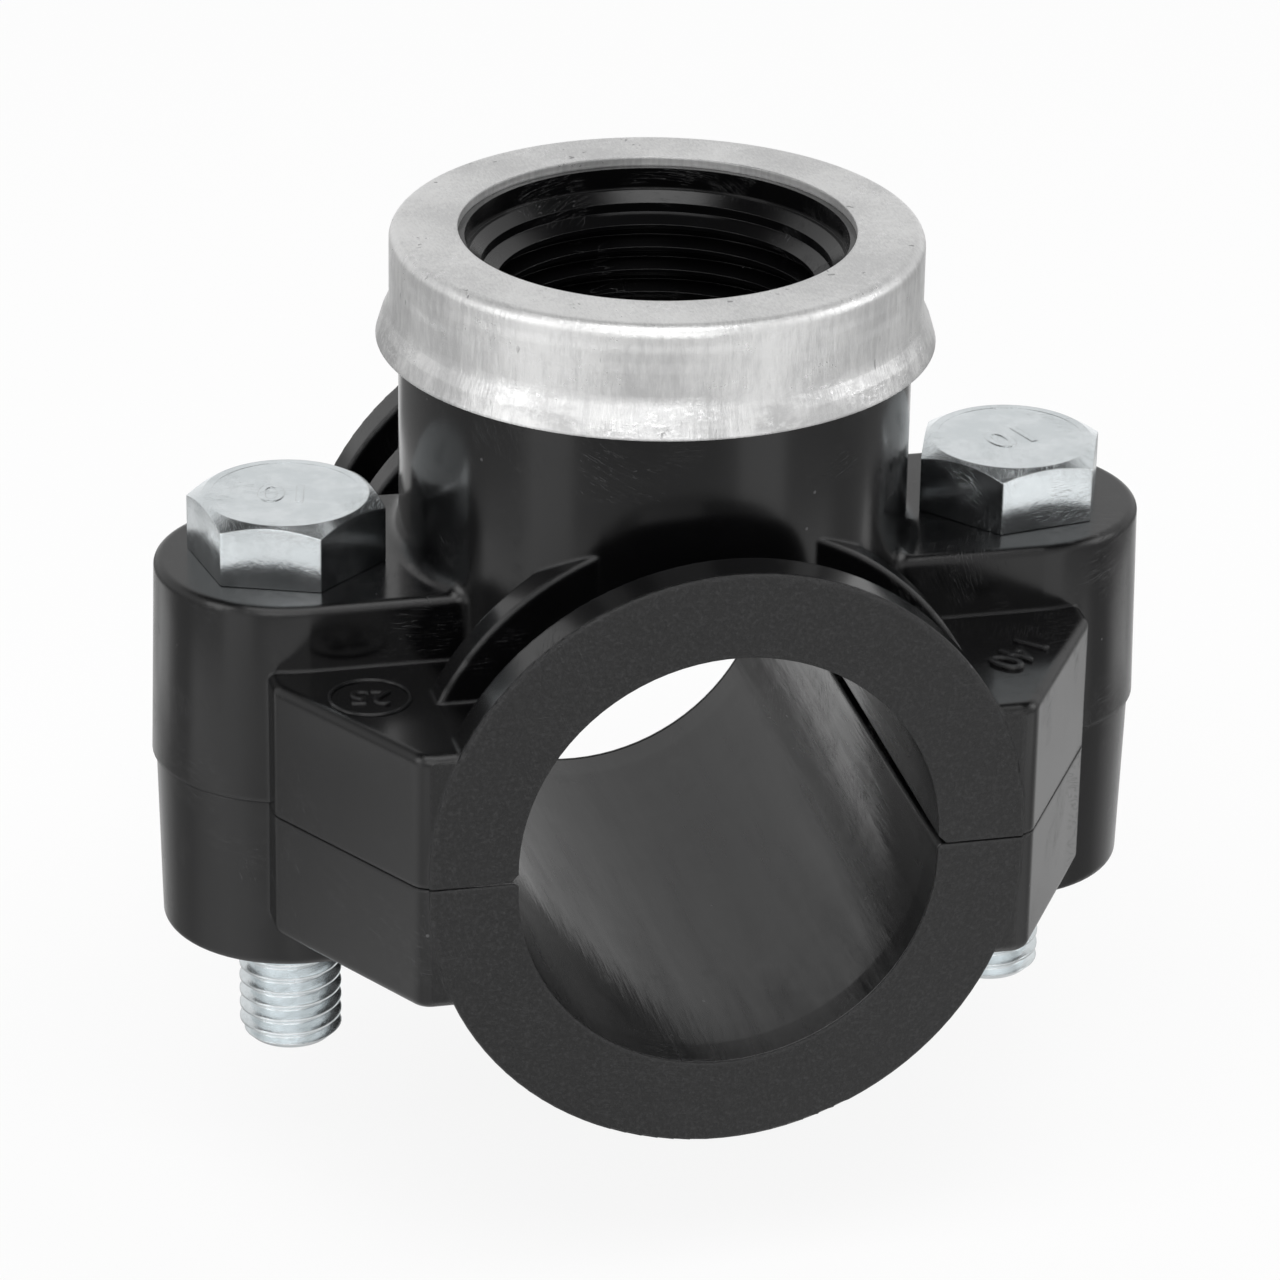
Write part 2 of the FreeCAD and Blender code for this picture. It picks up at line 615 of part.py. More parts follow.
round_edges(ring, "RingFlareBend",
            lambda edge, p: near(p.z, value_of(FLARE)) and
            near(math.hypot(p.x, p.y), value_of(WALL)) and edge.BoundBox.ZLength < 0.01,
            "2 * Sizes.ring_shoulder")


def chamfer_groove(body, name, level, rising):
    """Turn the corners off a hexagon so that a flat circle is left."""
    sketch = sketch_on(body, name + "Section", "XZ_Plane")
    reach = "Sizes.head_flats"
    fall = "Sizes.chamfer_slope * (" + reach + " - " + FLAT_CIRCLE + ")"
    edge_level = "(" + level + ")" + (" - " if rising else " + ") + fall
    beyond = "(" + level + ")" + (" + 1" if rising else " - 1")
    closed_outline(sketch, [
        (FLAT_CIRCLE, level), (reach, edge_level), (reach, beyond), (FLAT_CIRCLE, beyond)])
    turn(body, name, sketch, "V_Axis", cut=True)


def make_bolt(name, label, sign, turned):
    """Hexagon bolt with its head's underside on the upper lug."""
    body = new_body(name)
    body.Label = label
    head = sketch_on(body, name + "HeadOutline", "XY_Plane")
    hexagon_in(head, "Sizes.head_flats")
    pad(body, name + "Head", head, "Sizes.head_height")
    chamfer_groove(body, name + "HeadChamfer", "Sizes.head_height", True)
    shank = sketch_on(body, name + "ShankOutline", "XY_Plane")
    circle_in(shank, "Sizes.shank_radius")
    pad(body, name + "Shank", shank, "Sizes.bolt_length", down=True)
    tip = -size("bolt_length")
    round_edges(body, name + "Tip", lambda edge, p: near(p.z, tip), "Sizes.tip_chamfer",
                kind="PartDesign::Chamfer")
    body.setExpression("Placement.Base.x", sign + SPACING)
    body.setExpression("Placement.Base.z", "Sizes.lug_height")
    body.Placement.Rotation = FreeCAD.Rotation(FreeCAD.Vector(0, 0, 1), size(turned))
    doc.recompute()
    return body


def make_nut(name, label, sign):
    """Nut held against turning in the lower lug."""
    body = new_body(name)
    body.Label = label
    outline = sketch_on(body, name + "Outline", "XY_Plane")
    hexagon_in(outline, "Sizes.head_flats")
    pad(body, name + "Block", outline, "Sizes.nut_height")
    chamfer_groove(body, name + "TopChamfer", "Sizes.nut_height", True)
    chamfer_groove(body, name + "FootChamfer", "0 * Sizes.nut_height", False)
    hole = sketch_on(body, name + "HoleOutline", "XY_Plane")
    circle_in(hole, "Sizes.shank_radius + Sizes.nut_gap")
    bore = body.newObject("PartDesign::Pocket", name + "Hole")
    bore.Profile = hole
    bore.Type = "ThroughAll"
    bore.Reversed = True
    doc.recompute()
    body.setExpression("Placement.Base.x", sign + SPACING)
    body.setExpression("Placement.Base.z",
                       "-" + OFFSET + " - Sizes.lower_lug_height + Sizes.nut_inset")
    body.Placement.Rotation = FreeCAD.Rotation(FreeCAD.Vector(0, 0, 1), 30)
    doc.recompute()
    return body


bolt_left = make_bolt("BoltLeft", "bolt_left", "-", "left_turn")
bolt_right = make_bolt("BoltRight", "bolt_right", "", "right_turn")
nut_left = make_nut("NutLeft", "nut_left", "-")
nut_right = make_nut("NutRight", "nut_right", "")

doc.recompute()
broken = [item.Name for item in doc.Objects
          if "Invalid" in item.State or "Error" in item.State]
if broken:
    raise RuntimeError("features that failed: " + ", ".join(broken))

pieces = [upper, lower, seal, ring, bolt_left, bolt_right, nut_left, nut_right]
for piece in pieces:
    shape = piece.Shape
    if shape.isNull() or not shape.isValid() or len(shape.Solids) != 1:
        raise RuntimeError("bad shape: " + piece.Label)
    box = shape.BoundBox
    print("%-18s volume %9.1f  x %7.2f %7.2f  y %7.2f %7.2f  z %7.2f %7.2f" % (
        piece.Label, shape.Volume, box.XMin, box.XMax, box.YMin, box.YMax, box.ZMin, box.ZMax))

for piece in pieces:
    piece.Shape.exportStep("parts/" + piece.Label + ".step")
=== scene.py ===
"""Looks of a tapping saddle: black moulded halves, plated bolts and a pale metal ring."""

import json
import logging
import math
from contextlib import contextmanager
from dataclasses import dataclass, field
from enum import Enum
from typing import Iterator, Sequence

import bpy
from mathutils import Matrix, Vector


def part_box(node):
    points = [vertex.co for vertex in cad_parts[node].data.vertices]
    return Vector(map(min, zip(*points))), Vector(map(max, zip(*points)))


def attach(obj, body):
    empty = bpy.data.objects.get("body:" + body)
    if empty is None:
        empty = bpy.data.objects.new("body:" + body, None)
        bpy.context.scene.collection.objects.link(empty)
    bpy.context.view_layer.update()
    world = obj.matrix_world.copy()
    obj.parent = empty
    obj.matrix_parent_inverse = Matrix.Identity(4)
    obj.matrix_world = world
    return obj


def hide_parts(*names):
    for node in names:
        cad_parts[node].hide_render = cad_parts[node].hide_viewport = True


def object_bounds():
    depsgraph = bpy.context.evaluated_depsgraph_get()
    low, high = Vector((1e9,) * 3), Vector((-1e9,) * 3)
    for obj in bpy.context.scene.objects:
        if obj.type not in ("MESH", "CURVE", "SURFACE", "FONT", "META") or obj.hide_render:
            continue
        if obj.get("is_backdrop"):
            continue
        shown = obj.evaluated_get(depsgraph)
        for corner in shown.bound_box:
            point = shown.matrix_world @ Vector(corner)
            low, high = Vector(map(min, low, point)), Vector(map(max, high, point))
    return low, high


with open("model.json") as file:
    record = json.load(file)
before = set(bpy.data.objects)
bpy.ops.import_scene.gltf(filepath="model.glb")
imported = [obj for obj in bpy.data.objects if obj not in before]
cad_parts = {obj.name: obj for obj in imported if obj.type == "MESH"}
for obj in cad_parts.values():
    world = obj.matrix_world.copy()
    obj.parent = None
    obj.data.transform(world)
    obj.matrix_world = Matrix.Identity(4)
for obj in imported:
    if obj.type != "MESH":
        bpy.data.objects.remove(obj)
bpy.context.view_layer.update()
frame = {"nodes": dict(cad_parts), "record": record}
LOG = logging.getLogger("saddle")
MM = 0.001

Colour = tuple[float, float, float, float]
Span = tuple[float, float]
Place = tuple[float, float, float]


class Join(Enum):
    """Ways to put two closed forms together."""

    UNION = "UNION"
    DIFFERENCE = "DIFFERENCE"
    INTERSECT = "INTERSECT"


class Keep(Enum):
    """Part of a piece that stays when it is cut at a height."""

    BELOW = "BELOW"
    ABOVE = "ABOVE"


# Bench work: small steps that every piece is made with.


def clear_selection() -> None:
    """Leave edit mode and select nothing."""
    if bpy.context.object and bpy.context.object.mode != "OBJECT":
        bpy.ops.object.mode_set(mode="OBJECT")
    bpy.ops.object.select_all(action="DESELECT")


def take(piece: bpy.types.Object) -> bpy.types.Object:
    """Select one piece alone and make it active.

    Args:
        piece: The piece to work on.

    Returns:
        The same piece.
    """
    clear_selection()
    piece.select_set(True)
    bpy.context.view_layer.objects.active = piece
    return piece


@contextmanager
def editing(piece: bpy.types.Object) -> Iterator[None]:
    """Edit mode with all of one piece selected, left again at the end.

    Args:
        piece: The piece to edit.

    Returns:
        A context to work in.
    """
    take(piece)
    bpy.ops.object.mode_set(mode="EDIT")
    bpy.ops.mesh.select_all(action="SELECT")
    yield
    bpy.ops.object.mode_set(mode="OBJECT")


def named(name: str) -> bpy.types.Object:
    """Name the active object and its mesh.

    Args:
        name: The name of both.

    Returns:
        The object.
    """
    piece = bpy.context.object
    piece.name = name
    piece.data.name = name
    return piece


def settle(piece: bpy.types.Object) -> bpy.types.Object:
    """Put a piece's place, turn and scale into its mesh.

    Args:
        piece: The piece to settle.

    Returns:
        The same piece.
    """
    take(piece)
    bpy.ops.object.transform_apply(location=True, rotation=True, scale=True)
    return piece


def apply_modifier(piece: bpy.types.Object, kind: str, **settings: object) -> None:
    """Add one modifier to a piece and apply it.

    Args:
        piece: The piece to change.
        kind: Modifier type.
        **settings: Its values.
    """
    take(piece)
    modifier = piece.modifiers.new(kind.title(), kind)
    for key, value in settings.items():
        setattr(modifier, key, value)
    bpy.ops.object.modifier_apply(modifier=modifier.name)


def combine(piece: bpy.types.Object, tool: bpy.types.Object, way: Join) -> None:
    """Join, cut or intersect a piece with a tool, which is used up.

    Args:
        piece: The piece that stays.
        tool: The form that shapes it.
        way: How the two are put together.
    """
    apply_modifier(piece, "BOOLEAN", object=tool, operation=way.value, solver="EXACT")
    bpy.data.objects.remove(tool, do_unlink=True)


def join_into(piece: bpy.types.Object, extra: bpy.types.Object) -> None:
    """Make an extra mesh part of a piece, which keeps its name.

    Args:
        piece: The piece that stays.
        extra: The mesh that goes into it.
    """
    take(extra)
    piece.select_set(True)
    bpy.context.view_layer.objects.active = piece
    bpy.ops.object.join()


def open_line(name: str, points: Sequence[Sequence[float]]) -> bpy.types.Object:
    """Open line through points, drawn by extruding one vertex.

    Args:
        name: Name of the new object.
        points: Places in metres.

    Returns:
        An object with edges only.
    """
    clear_selection()
    bpy.ops.mesh.primitive_plane_add(size=MM)
    piece = named(name)
    with editing(piece):
        bpy.ops.mesh.merge(type="CENTER")
        bpy.ops.transform.translate(value=Vector(points[0]))
        for before, after in zip(points, points[1:]):
            step = Vector(after) - Vector(before)
            bpy.ops.mesh.extrude_region_move(TRANSFORM_OT_translate={"value": step})
    return piece


def cut_level(piece: bpy.types.Object, level: float, keep: Keep) -> None:
    """Cut a piece at a height and close the cut.

    Args:
        piece: The piece to cut.
        level: Height of the cut in metres.
        keep: The part that stays.
    """
    with editing(piece):
        bpy.ops.mesh.bisect(
            plane_co=(0, 0, level), plane_no=(0, 0, 1), use_fill=True,
            clear_outer=keep is Keep.BELOW, clear_inner=keep is Keep.ABOVE)


def clean_mesh(piece: bpy.types.Object, distance: float = 1e-6) -> None:
    """Merge doubled points and turn all faces outwards.

    Args:
        piece: The piece to clean.
        distance: Reach in metres within which points become one.
    """
    with editing(piece):
        bpy.ops.mesh.remove_doubles(threshold=distance)
        bpy.ops.mesh.normals_make_consistent(inside=False)


def soften(piece: bpy.types.Object, degrees: float = 35.0) -> None:
    """Smooth shading with edges sharper than an angle left crisp."""
    take(piece)
    bpy.ops.object.shade_smooth_by_angle(angle=math.radians(degrees))


def cylinder(name: str, radius: float, low: float, high: float,
             sides: int = 128) -> bpy.types.Object:
    """Upright cylinder round the Z axis.

    Args:
        name: Name of the new object.
        radius: Its radius.
        low: Height of its low end.
        high: Height of its high end.
        sides: Faces round it.

    Returns:
        The cylinder.
    """
    clear_selection()
    bpy.ops.mesh.primitive_cylinder_add(
        vertices=sides, radius=radius, depth=high - low,
        location=(0.0, 0.0, (low + high) / 2))
    return settle(named(name))


def cone(name: str, foot: float, top: float, low: float, high: float,
         sides: int = 128) -> bpy.types.Object:
    """Upright truncated cone round the Z axis.

    Args:
        name: Name of the new object.
        foot: Radius at its low end.
        top: Radius at its high end.
        low: Height of its low end.
        high: Height of its high end.
        sides: Faces round it.

    Returns:
        The cone.
    """
    clear_selection()
    bpy.ops.mesh.primitive_cone_add(
        vertices=sides, radius1=foot, radius2=top, depth=high - low,
        location=(0.0, 0.0, (low + high) / 2))
    return settle(named(name))


def dress(piece: bpy.types.Object, material: bpy.types.Material) -> None:
    """Give a piece one material in every slot."""
    piece.data.materials.clear()
    piece.data.materials.append(material)


# Shader building.


class Wires:
    """Node tree with short ways to add and join nodes."""

    def __init__(self, tree: bpy.types.NodeTree) -> None:
        """Keep the tree."""
        self.tree = tree

    def add(self, kind: str, **settings: object) -> bpy.types.Node:
        """Add a node.

        Args:
            kind: Node type.
            **settings: Node properties, or input values by name with inputs=.

        Returns:
            The node.
        """
        inputs = settings.pop("inputs", {})
        node = self.tree.nodes.new(kind)
        for key, value in settings.items():
            setattr(node, key, value)
        for key, value in inputs.items():
            if isinstance(value, bpy.types.NodeSocket):
                self.tree.links.new(value, node.inputs[key])
            else:
                node.inputs[key].default_value = value
        return node

    def join(self, source: bpy.types.NodeSocket, target: bpy.types.NodeSocket) -> None:
        """Link two sockets."""
        self.tree.links.new(source, target)

    def math(self, operation: str, first: object,
             second: object = 0.0) -> bpy.types.NodeSocket:
        """Result of a math node."""
        node = self.add("ShaderNodeMath", operation=operation, inputs={0: first, 1: second})
        return node.outputs[0]

    def times(self, first: object, second: object) -> bpy.types.NodeSocket:
        """Product of two values."""
        return self.math("MULTIPLY", first, second)

    def plus(self, first: object, second: object) -> bpy.types.NodeSocket:
        """Sum of two values."""
        return self.math("ADD", first, second)

    def minus(self, first: object, second: object) -> bpy.types.NodeSocket:
        """Difference of two values."""
        return self.math("SUBTRACT", first, second)

    def most(self, first: object, second: object) -> bpy.types.NodeSocket:
        """Larger of two values."""
        return self.math("MAXIMUM", first, second)

    def size(self, value: object) -> bpy.types.NodeSocket:
        """Value without its sign."""
        return self.math("ABSOLUTE", value)

    def reach(self, first: object, second: object) -> bpy.types.NodeSocket:
        """Distance from an axis, by the two parts of a place across it."""
        return self.math("SQRT", self.plus(
            self.times(first, first), self.times(second, second)))

    def band(self, value: object, low: float, high: float) -> bpy.types.NodeSocket:
        """Smooth step of a value from 0 at low to 1 at high."""
        node = self.add("ShaderNodeMapRange", interpolation_type="SMOOTHSTEP", inputs={
            "Value": value, "From Min": low, "From Max": high, "To Min": 0.0, "To Max": 1.0})
        return node.outputs["Result"]

    def spread(self, value: object, low: float, high: float) -> bpy.types.NodeSocket:
        """Value from 0 to 1 spread between two numbers."""
        node = self.add("ShaderNodeMapRange", inputs={
            "Value": value, "From Min": 0.0, "From Max": 1.0, "To Min": low, "To Max": high})
        return node.outputs["Result"]

    def blend(self, factor: object, first: object, second: object) -> bpy.types.NodeSocket:
        """Mix of two colours."""
        node = self.add("ShaderNodeMix", data_type="RGBA",
                        inputs={0: factor, 6: first, 7: second})
        return node.outputs[2]

    def between(self, factor: object, first: object, second: object) -> bpy.types.NodeSocket:
        """Mix of two values."""
        node = self.add("ShaderNodeMix", data_type="FLOAT",
                        inputs={0: factor, 2: first, 3: second})
        return node.outputs[0]

    def noise(self, place: bpy.types.NodeSocket, scale: object, detail: float = 3.0,
              roughness: float = 0.55) -> bpy.types.NodeSocket:
        """Plain noise.

        Args:
            place: Where on the piece.
            scale: Fineness of the noise.
            detail: Steps of finer noise in it.
            roughness: Share of each finer step.

        Returns:
            A value from 0 to 1.
        """
        node = self.add("ShaderNodeTexNoise", inputs={
            "Vector": place, "Scale": scale, "Detail": detail, "Roughness": roughness})
        return node.outputs["Fac"]

    def stretched(self, place: bpy.types.NodeSocket, factors: Place) -> bpy.types.NodeSocket:
        """Place with each axis multiplied."""
        node = self.add("ShaderNodeVectorMath", operation="MULTIPLY",
                        inputs={0: place, 1: factors})
        return node.outputs[0]

    def parts(self, place: bpy.types.NodeSocket) -> bpy.types.NodeOutputs:
        """Three parts of a place, by the names X, Y and Z."""
        return self.add("ShaderNodeSeparateXYZ", inputs={0: place}).outputs

    def length(self, place: bpy.types.NodeSocket) -> bpy.types.NodeSocket:
        """Length of a vector."""
        node = self.add("ShaderNodeVectorMath", operation="LENGTH", inputs={0: place})
        return node.outputs["Value"]

    def bump(self, height: bpy.types.NodeSocket, strength: float, distance: float,
             normal: bpy.types.NodeSocket | None = None) -> bpy.types.NodeSocket:
        """Normal that a height gives to the surface.

        Args:
            height: Height over the surface.
            strength: Strength of the relief.
            distance: Rise in metres that a height of 1 stands for.
            normal: Normal under the relief, where it isn't the mesh's own.

        Returns:
            The normal.
        """
        inputs = {"Height": height, "Strength": strength, "Distance": distance}
        if normal is not None:
            inputs["Normal"] = normal
        return self.add("ShaderNodeBump", inputs=inputs).outputs[0]


FLOAT = "NodeSocketFloat"
VECTOR = "NodeSocketVector"


def new_group(name: str, inputs: Sequence[tuple[str, str, float]],
              outputs: Sequence[tuple[str, str]]) -> tuple[Wires, bpy.types.Node, bpy.types.Node]:
    """Empty shader node group with its sockets.

    Args:
        name: Name of the group.
        inputs: Name, socket type and start value of each input.
        outputs: Name and socket type of each output.

    Returns:
        The wires, the group's input node and its output node.
    """
    tree = bpy.data.node_groups.new(name, "ShaderNodeTree")
    for label, kind, start in inputs:
        socket = tree.interface.new_socket(label, in_out="INPUT", socket_type=kind)
        if kind == FLOAT:
            socket.default_value = start
    for label, kind in outputs:
        tree.interface.new_socket(label, in_out="OUTPUT", socket_type=kind)
    wires = Wires(tree)
    return wires, wires.add("NodeGroupInput"), wires.add("NodeGroupOutput")


def scratch_group() -> bpy.types.NodeTree:
    """Sparse thin scratches: a mask from long stretched noise, broken into lengths.

    Returns:
        The group.
    """
    turns_and_squeezes = ((0.35, 22.0), (1.25, 30.0), (2.4, 18.0))
    line_width = 0.012
    patch_scale, patch_edge = 90.0, (0.56, 0.66)
    wires, start, end = new_group(
        "Thin scratches",
        [("Place", VECTOR, 0.0), ("Scale", FLOAT, 300.0), ("Amount", FLOAT, 0.5)],
        [("Mask", FLOAT)])
    total = None
    for turn, squeeze in turns_and_squeezes:
        turned = wires.add("ShaderNodeVectorRotate", rotation_type="EULER_XYZ", inputs={
            "Vector": start.outputs["Place"], "Rotation": (turn, turn * 0.7, turn * 1.3)})
        thin = wires.stretched(turned.outputs[0], (squeeze, 1.0, 1.0))
        noise = wires.add("ShaderNodeTexNoise", inputs={
            "Vector": thin, "Scale": start.outputs["Scale"], "Detail": 1.0})
        line = wires.size(wires.minus(noise.outputs["Fac"], 0.5))
        line = wires.band(line, line_width, 0.0)
        patch = wires.noise(turned.outputs[0], patch_scale, 2.0)
        line = wires.times(line, wires.band(patch, *patch_edge))
        total = line if total is None else wires.most(total, line)
    wires.join(wires.times(total, start.outputs["Amount"]), end.inputs["Mask"])
    return wires.tree


def grain_group() -> bpy.types.NodeTree:
    """Spark-eroded grain: fine height and a matching mask.

    Returns:
        The group.
    """
    coarser, coarse_share = 0.45, 0.5
    mask_edge = (0.45, 0.75)
    wires, start, end = new_group(
        "Moulded grain",
        [("Place", VECTOR, 0.0), ("Scale", FLOAT, 2200.0), ("Amount", FLOAT, 1.0)],
        [("Height", FLOAT), ("Mask", FLOAT)])
    place, scale = start.outputs["Place"], start.outputs["Scale"]
    fine = wires.noise(place, scale, 3.0, 0.65)
    coarse = wires.add("ShaderNodeTexVoronoi", inputs={
        "Vector": place, "Scale": wires.times(scale, coarser)})
    both = wires.plus(fine, wires.times(coarse.outputs["Distance"], coarse_share))
    wires.join(wires.times(both, start.outputs["Amount"]), end.inputs["Height"])
    wires.join(wires.band(fine, *mask_edge), end.inputs["Mask"])
    return wires.tree


def dust_group() -> bpy.types.NodeTree:
    """Sparse pale specks.

    Returns:
        The group.
    """
    share_without = 0.94
    wires, start, end = new_group(
        "Dust specks",
        [("Place", VECTOR, 0.0), ("Scale", FLOAT, 600.0), ("Size", FLOAT, 0.06)],
        [("Mask", FLOAT)])
    cells = wires.add("ShaderNodeTexVoronoi", inputs={
        "Vector": start.outputs["Place"], "Scale": start.outputs["Scale"], "Randomness": 1.0})
    chosen = wires.add("ShaderNodeTexWhiteNoise", inputs={"Vector": cells.outputs["Position"]})
    dot = wires.math("LESS_THAN", cells.outputs["Distance"], start.outputs["Size"])
    rare = wires.math("GREATER_THAN", chosen.outputs["Value"], share_without)
    wires.join(wires.times(dot, rare), end.inputs["Mask"])
    return wires.tree


def edge_group() -> bpy.types.NodeTree:
    """Rounded normals along edges, and a mask of where the edges are.

    Returns:
        The group.
    """
    rays = 3
    mask_edge = (0.98, 0.80)
    wires, start, end = new_group(
        "Soft edges", [("Radius", FLOAT, 0.0004)], [("Normal", VECTOR), ("Mask", FLOAT)])
    rounded = wires.add("ShaderNodeBevel", samples=rays,
                        inputs={"Radius": start.outputs["Radius"]})
    plain = wires.add("ShaderNodeNewGeometry")
    match = wires.add("ShaderNodeVectorMath", operation="DOT_PRODUCT",
                      inputs={0: rounded.outputs[0], 1: plain.outputs["True Normal"]})
    wires.join(rounded.outputs[0], end.inputs["Normal"])
    wires.join(wires.band(match.outputs["Value"], *mask_edge), end.inputs["Mask"])
    return wires.tree


def streak_group() -> bpy.types.NodeTree:
    """Drawn-metal streaks that run up a round wall, with broader cloudy patches.

    Returns:
        The group.
    """
    wall_radius = 0.025
    along = 0.22
    cloud_scale = 110.0
    wires, start, end = new_group(
        "Drawn streaks",
        [("Place", VECTOR, 0.0), ("Fineness", FLOAT, 900.0)],
        [("Streaks", FLOAT), ("Clouds", FLOAT)])
    place = start.outputs["Place"]
    split = wires.parts(place)
    around = wires.times(wires.math("ARCTAN2", split["Y"], split["X"]), wall_radius)
    reach = wires.length(wires.stretched(place, (1.0, 1.0, 0.0)))
    flat = wires.add("ShaderNodeCombineXYZ", inputs={
        "X": around, "Y": wires.times(split["Z"], along), "Z": wires.times(reach, along)})
    fine = wires.noise(flat.outputs[0], start.outputs["Fineness"], 4.0, 0.7)
    clouds = wires.noise(wires.stretched(place, (1.0, 1.0, 0.7)), cloud_scale, 4.0, 0.6)
    wires.join(fine, end.inputs["Streaks"])
    wires.join(clouds, end.inputs["Clouds"])
    return wires.tree


@dataclass(frozen=True)
class Workshop:
    """The shared shader groups, each built once.

    Attributes:
        scratches: Thin scratches.
        grain: Moulded grain.
        dust: Dust specks.
        edges: Soft edges.
        streaks: Drawn streaks.
    """

    scratches: bpy.types.NodeTree = field(default_factory=scratch_group)
    grain: bpy.types.NodeTree = field(default_factory=grain_group)
    dust: bpy.types.NodeTree = field(default_factory=dust_group)
    edges: bpy.types.NodeTree = field(default_factory=edge_group)
    streaks: bpy.types.NodeTree = field(default_factory=streak_group)


class Finish:
    """Base of the finishes: starts a material and places shared groups in it."""

    @staticmethod
    def start(name: str) -> tuple[bpy.types.Material, Wires, bpy.types.Node,
                                  bpy.types.NodeSocket]:
        """Start a material.

        Args:
            name: Name of the material.

        Returns:
            The material, its wires, its shader and the piece's own place.
        """
        material = bpy.data.materials.new(name)
        material.use_nodes = True
        wires = Wires(material.node_tree)
        shader = material.node_tree.nodes["Principled BSDF"]
        place = wires.add("ShaderNodeTexCoord").outputs["Object"]
        return material, wires, shader, place

    @staticmethod
    def shared(wires: Wires, tree: bpy.types.NodeTree, **inputs: object) -> bpy.types.NodeOutputs:
        """Place a shared group in a material.

        Args:
            wires: The material's wires.
            tree: The group.
            **inputs: Its input values by name.

        Returns:
            What the group puts out, by name.
        """
        node = wires.add("ShaderNodeGroup")
        node.node_tree = tree
        for key, value in inputs.items():
            if isinstance(value, bpy.types.NodeSocket):
                wires.join(value, node.inputs[key])
            else:
                node.inputs[key].default_value = value
        return node.outputs


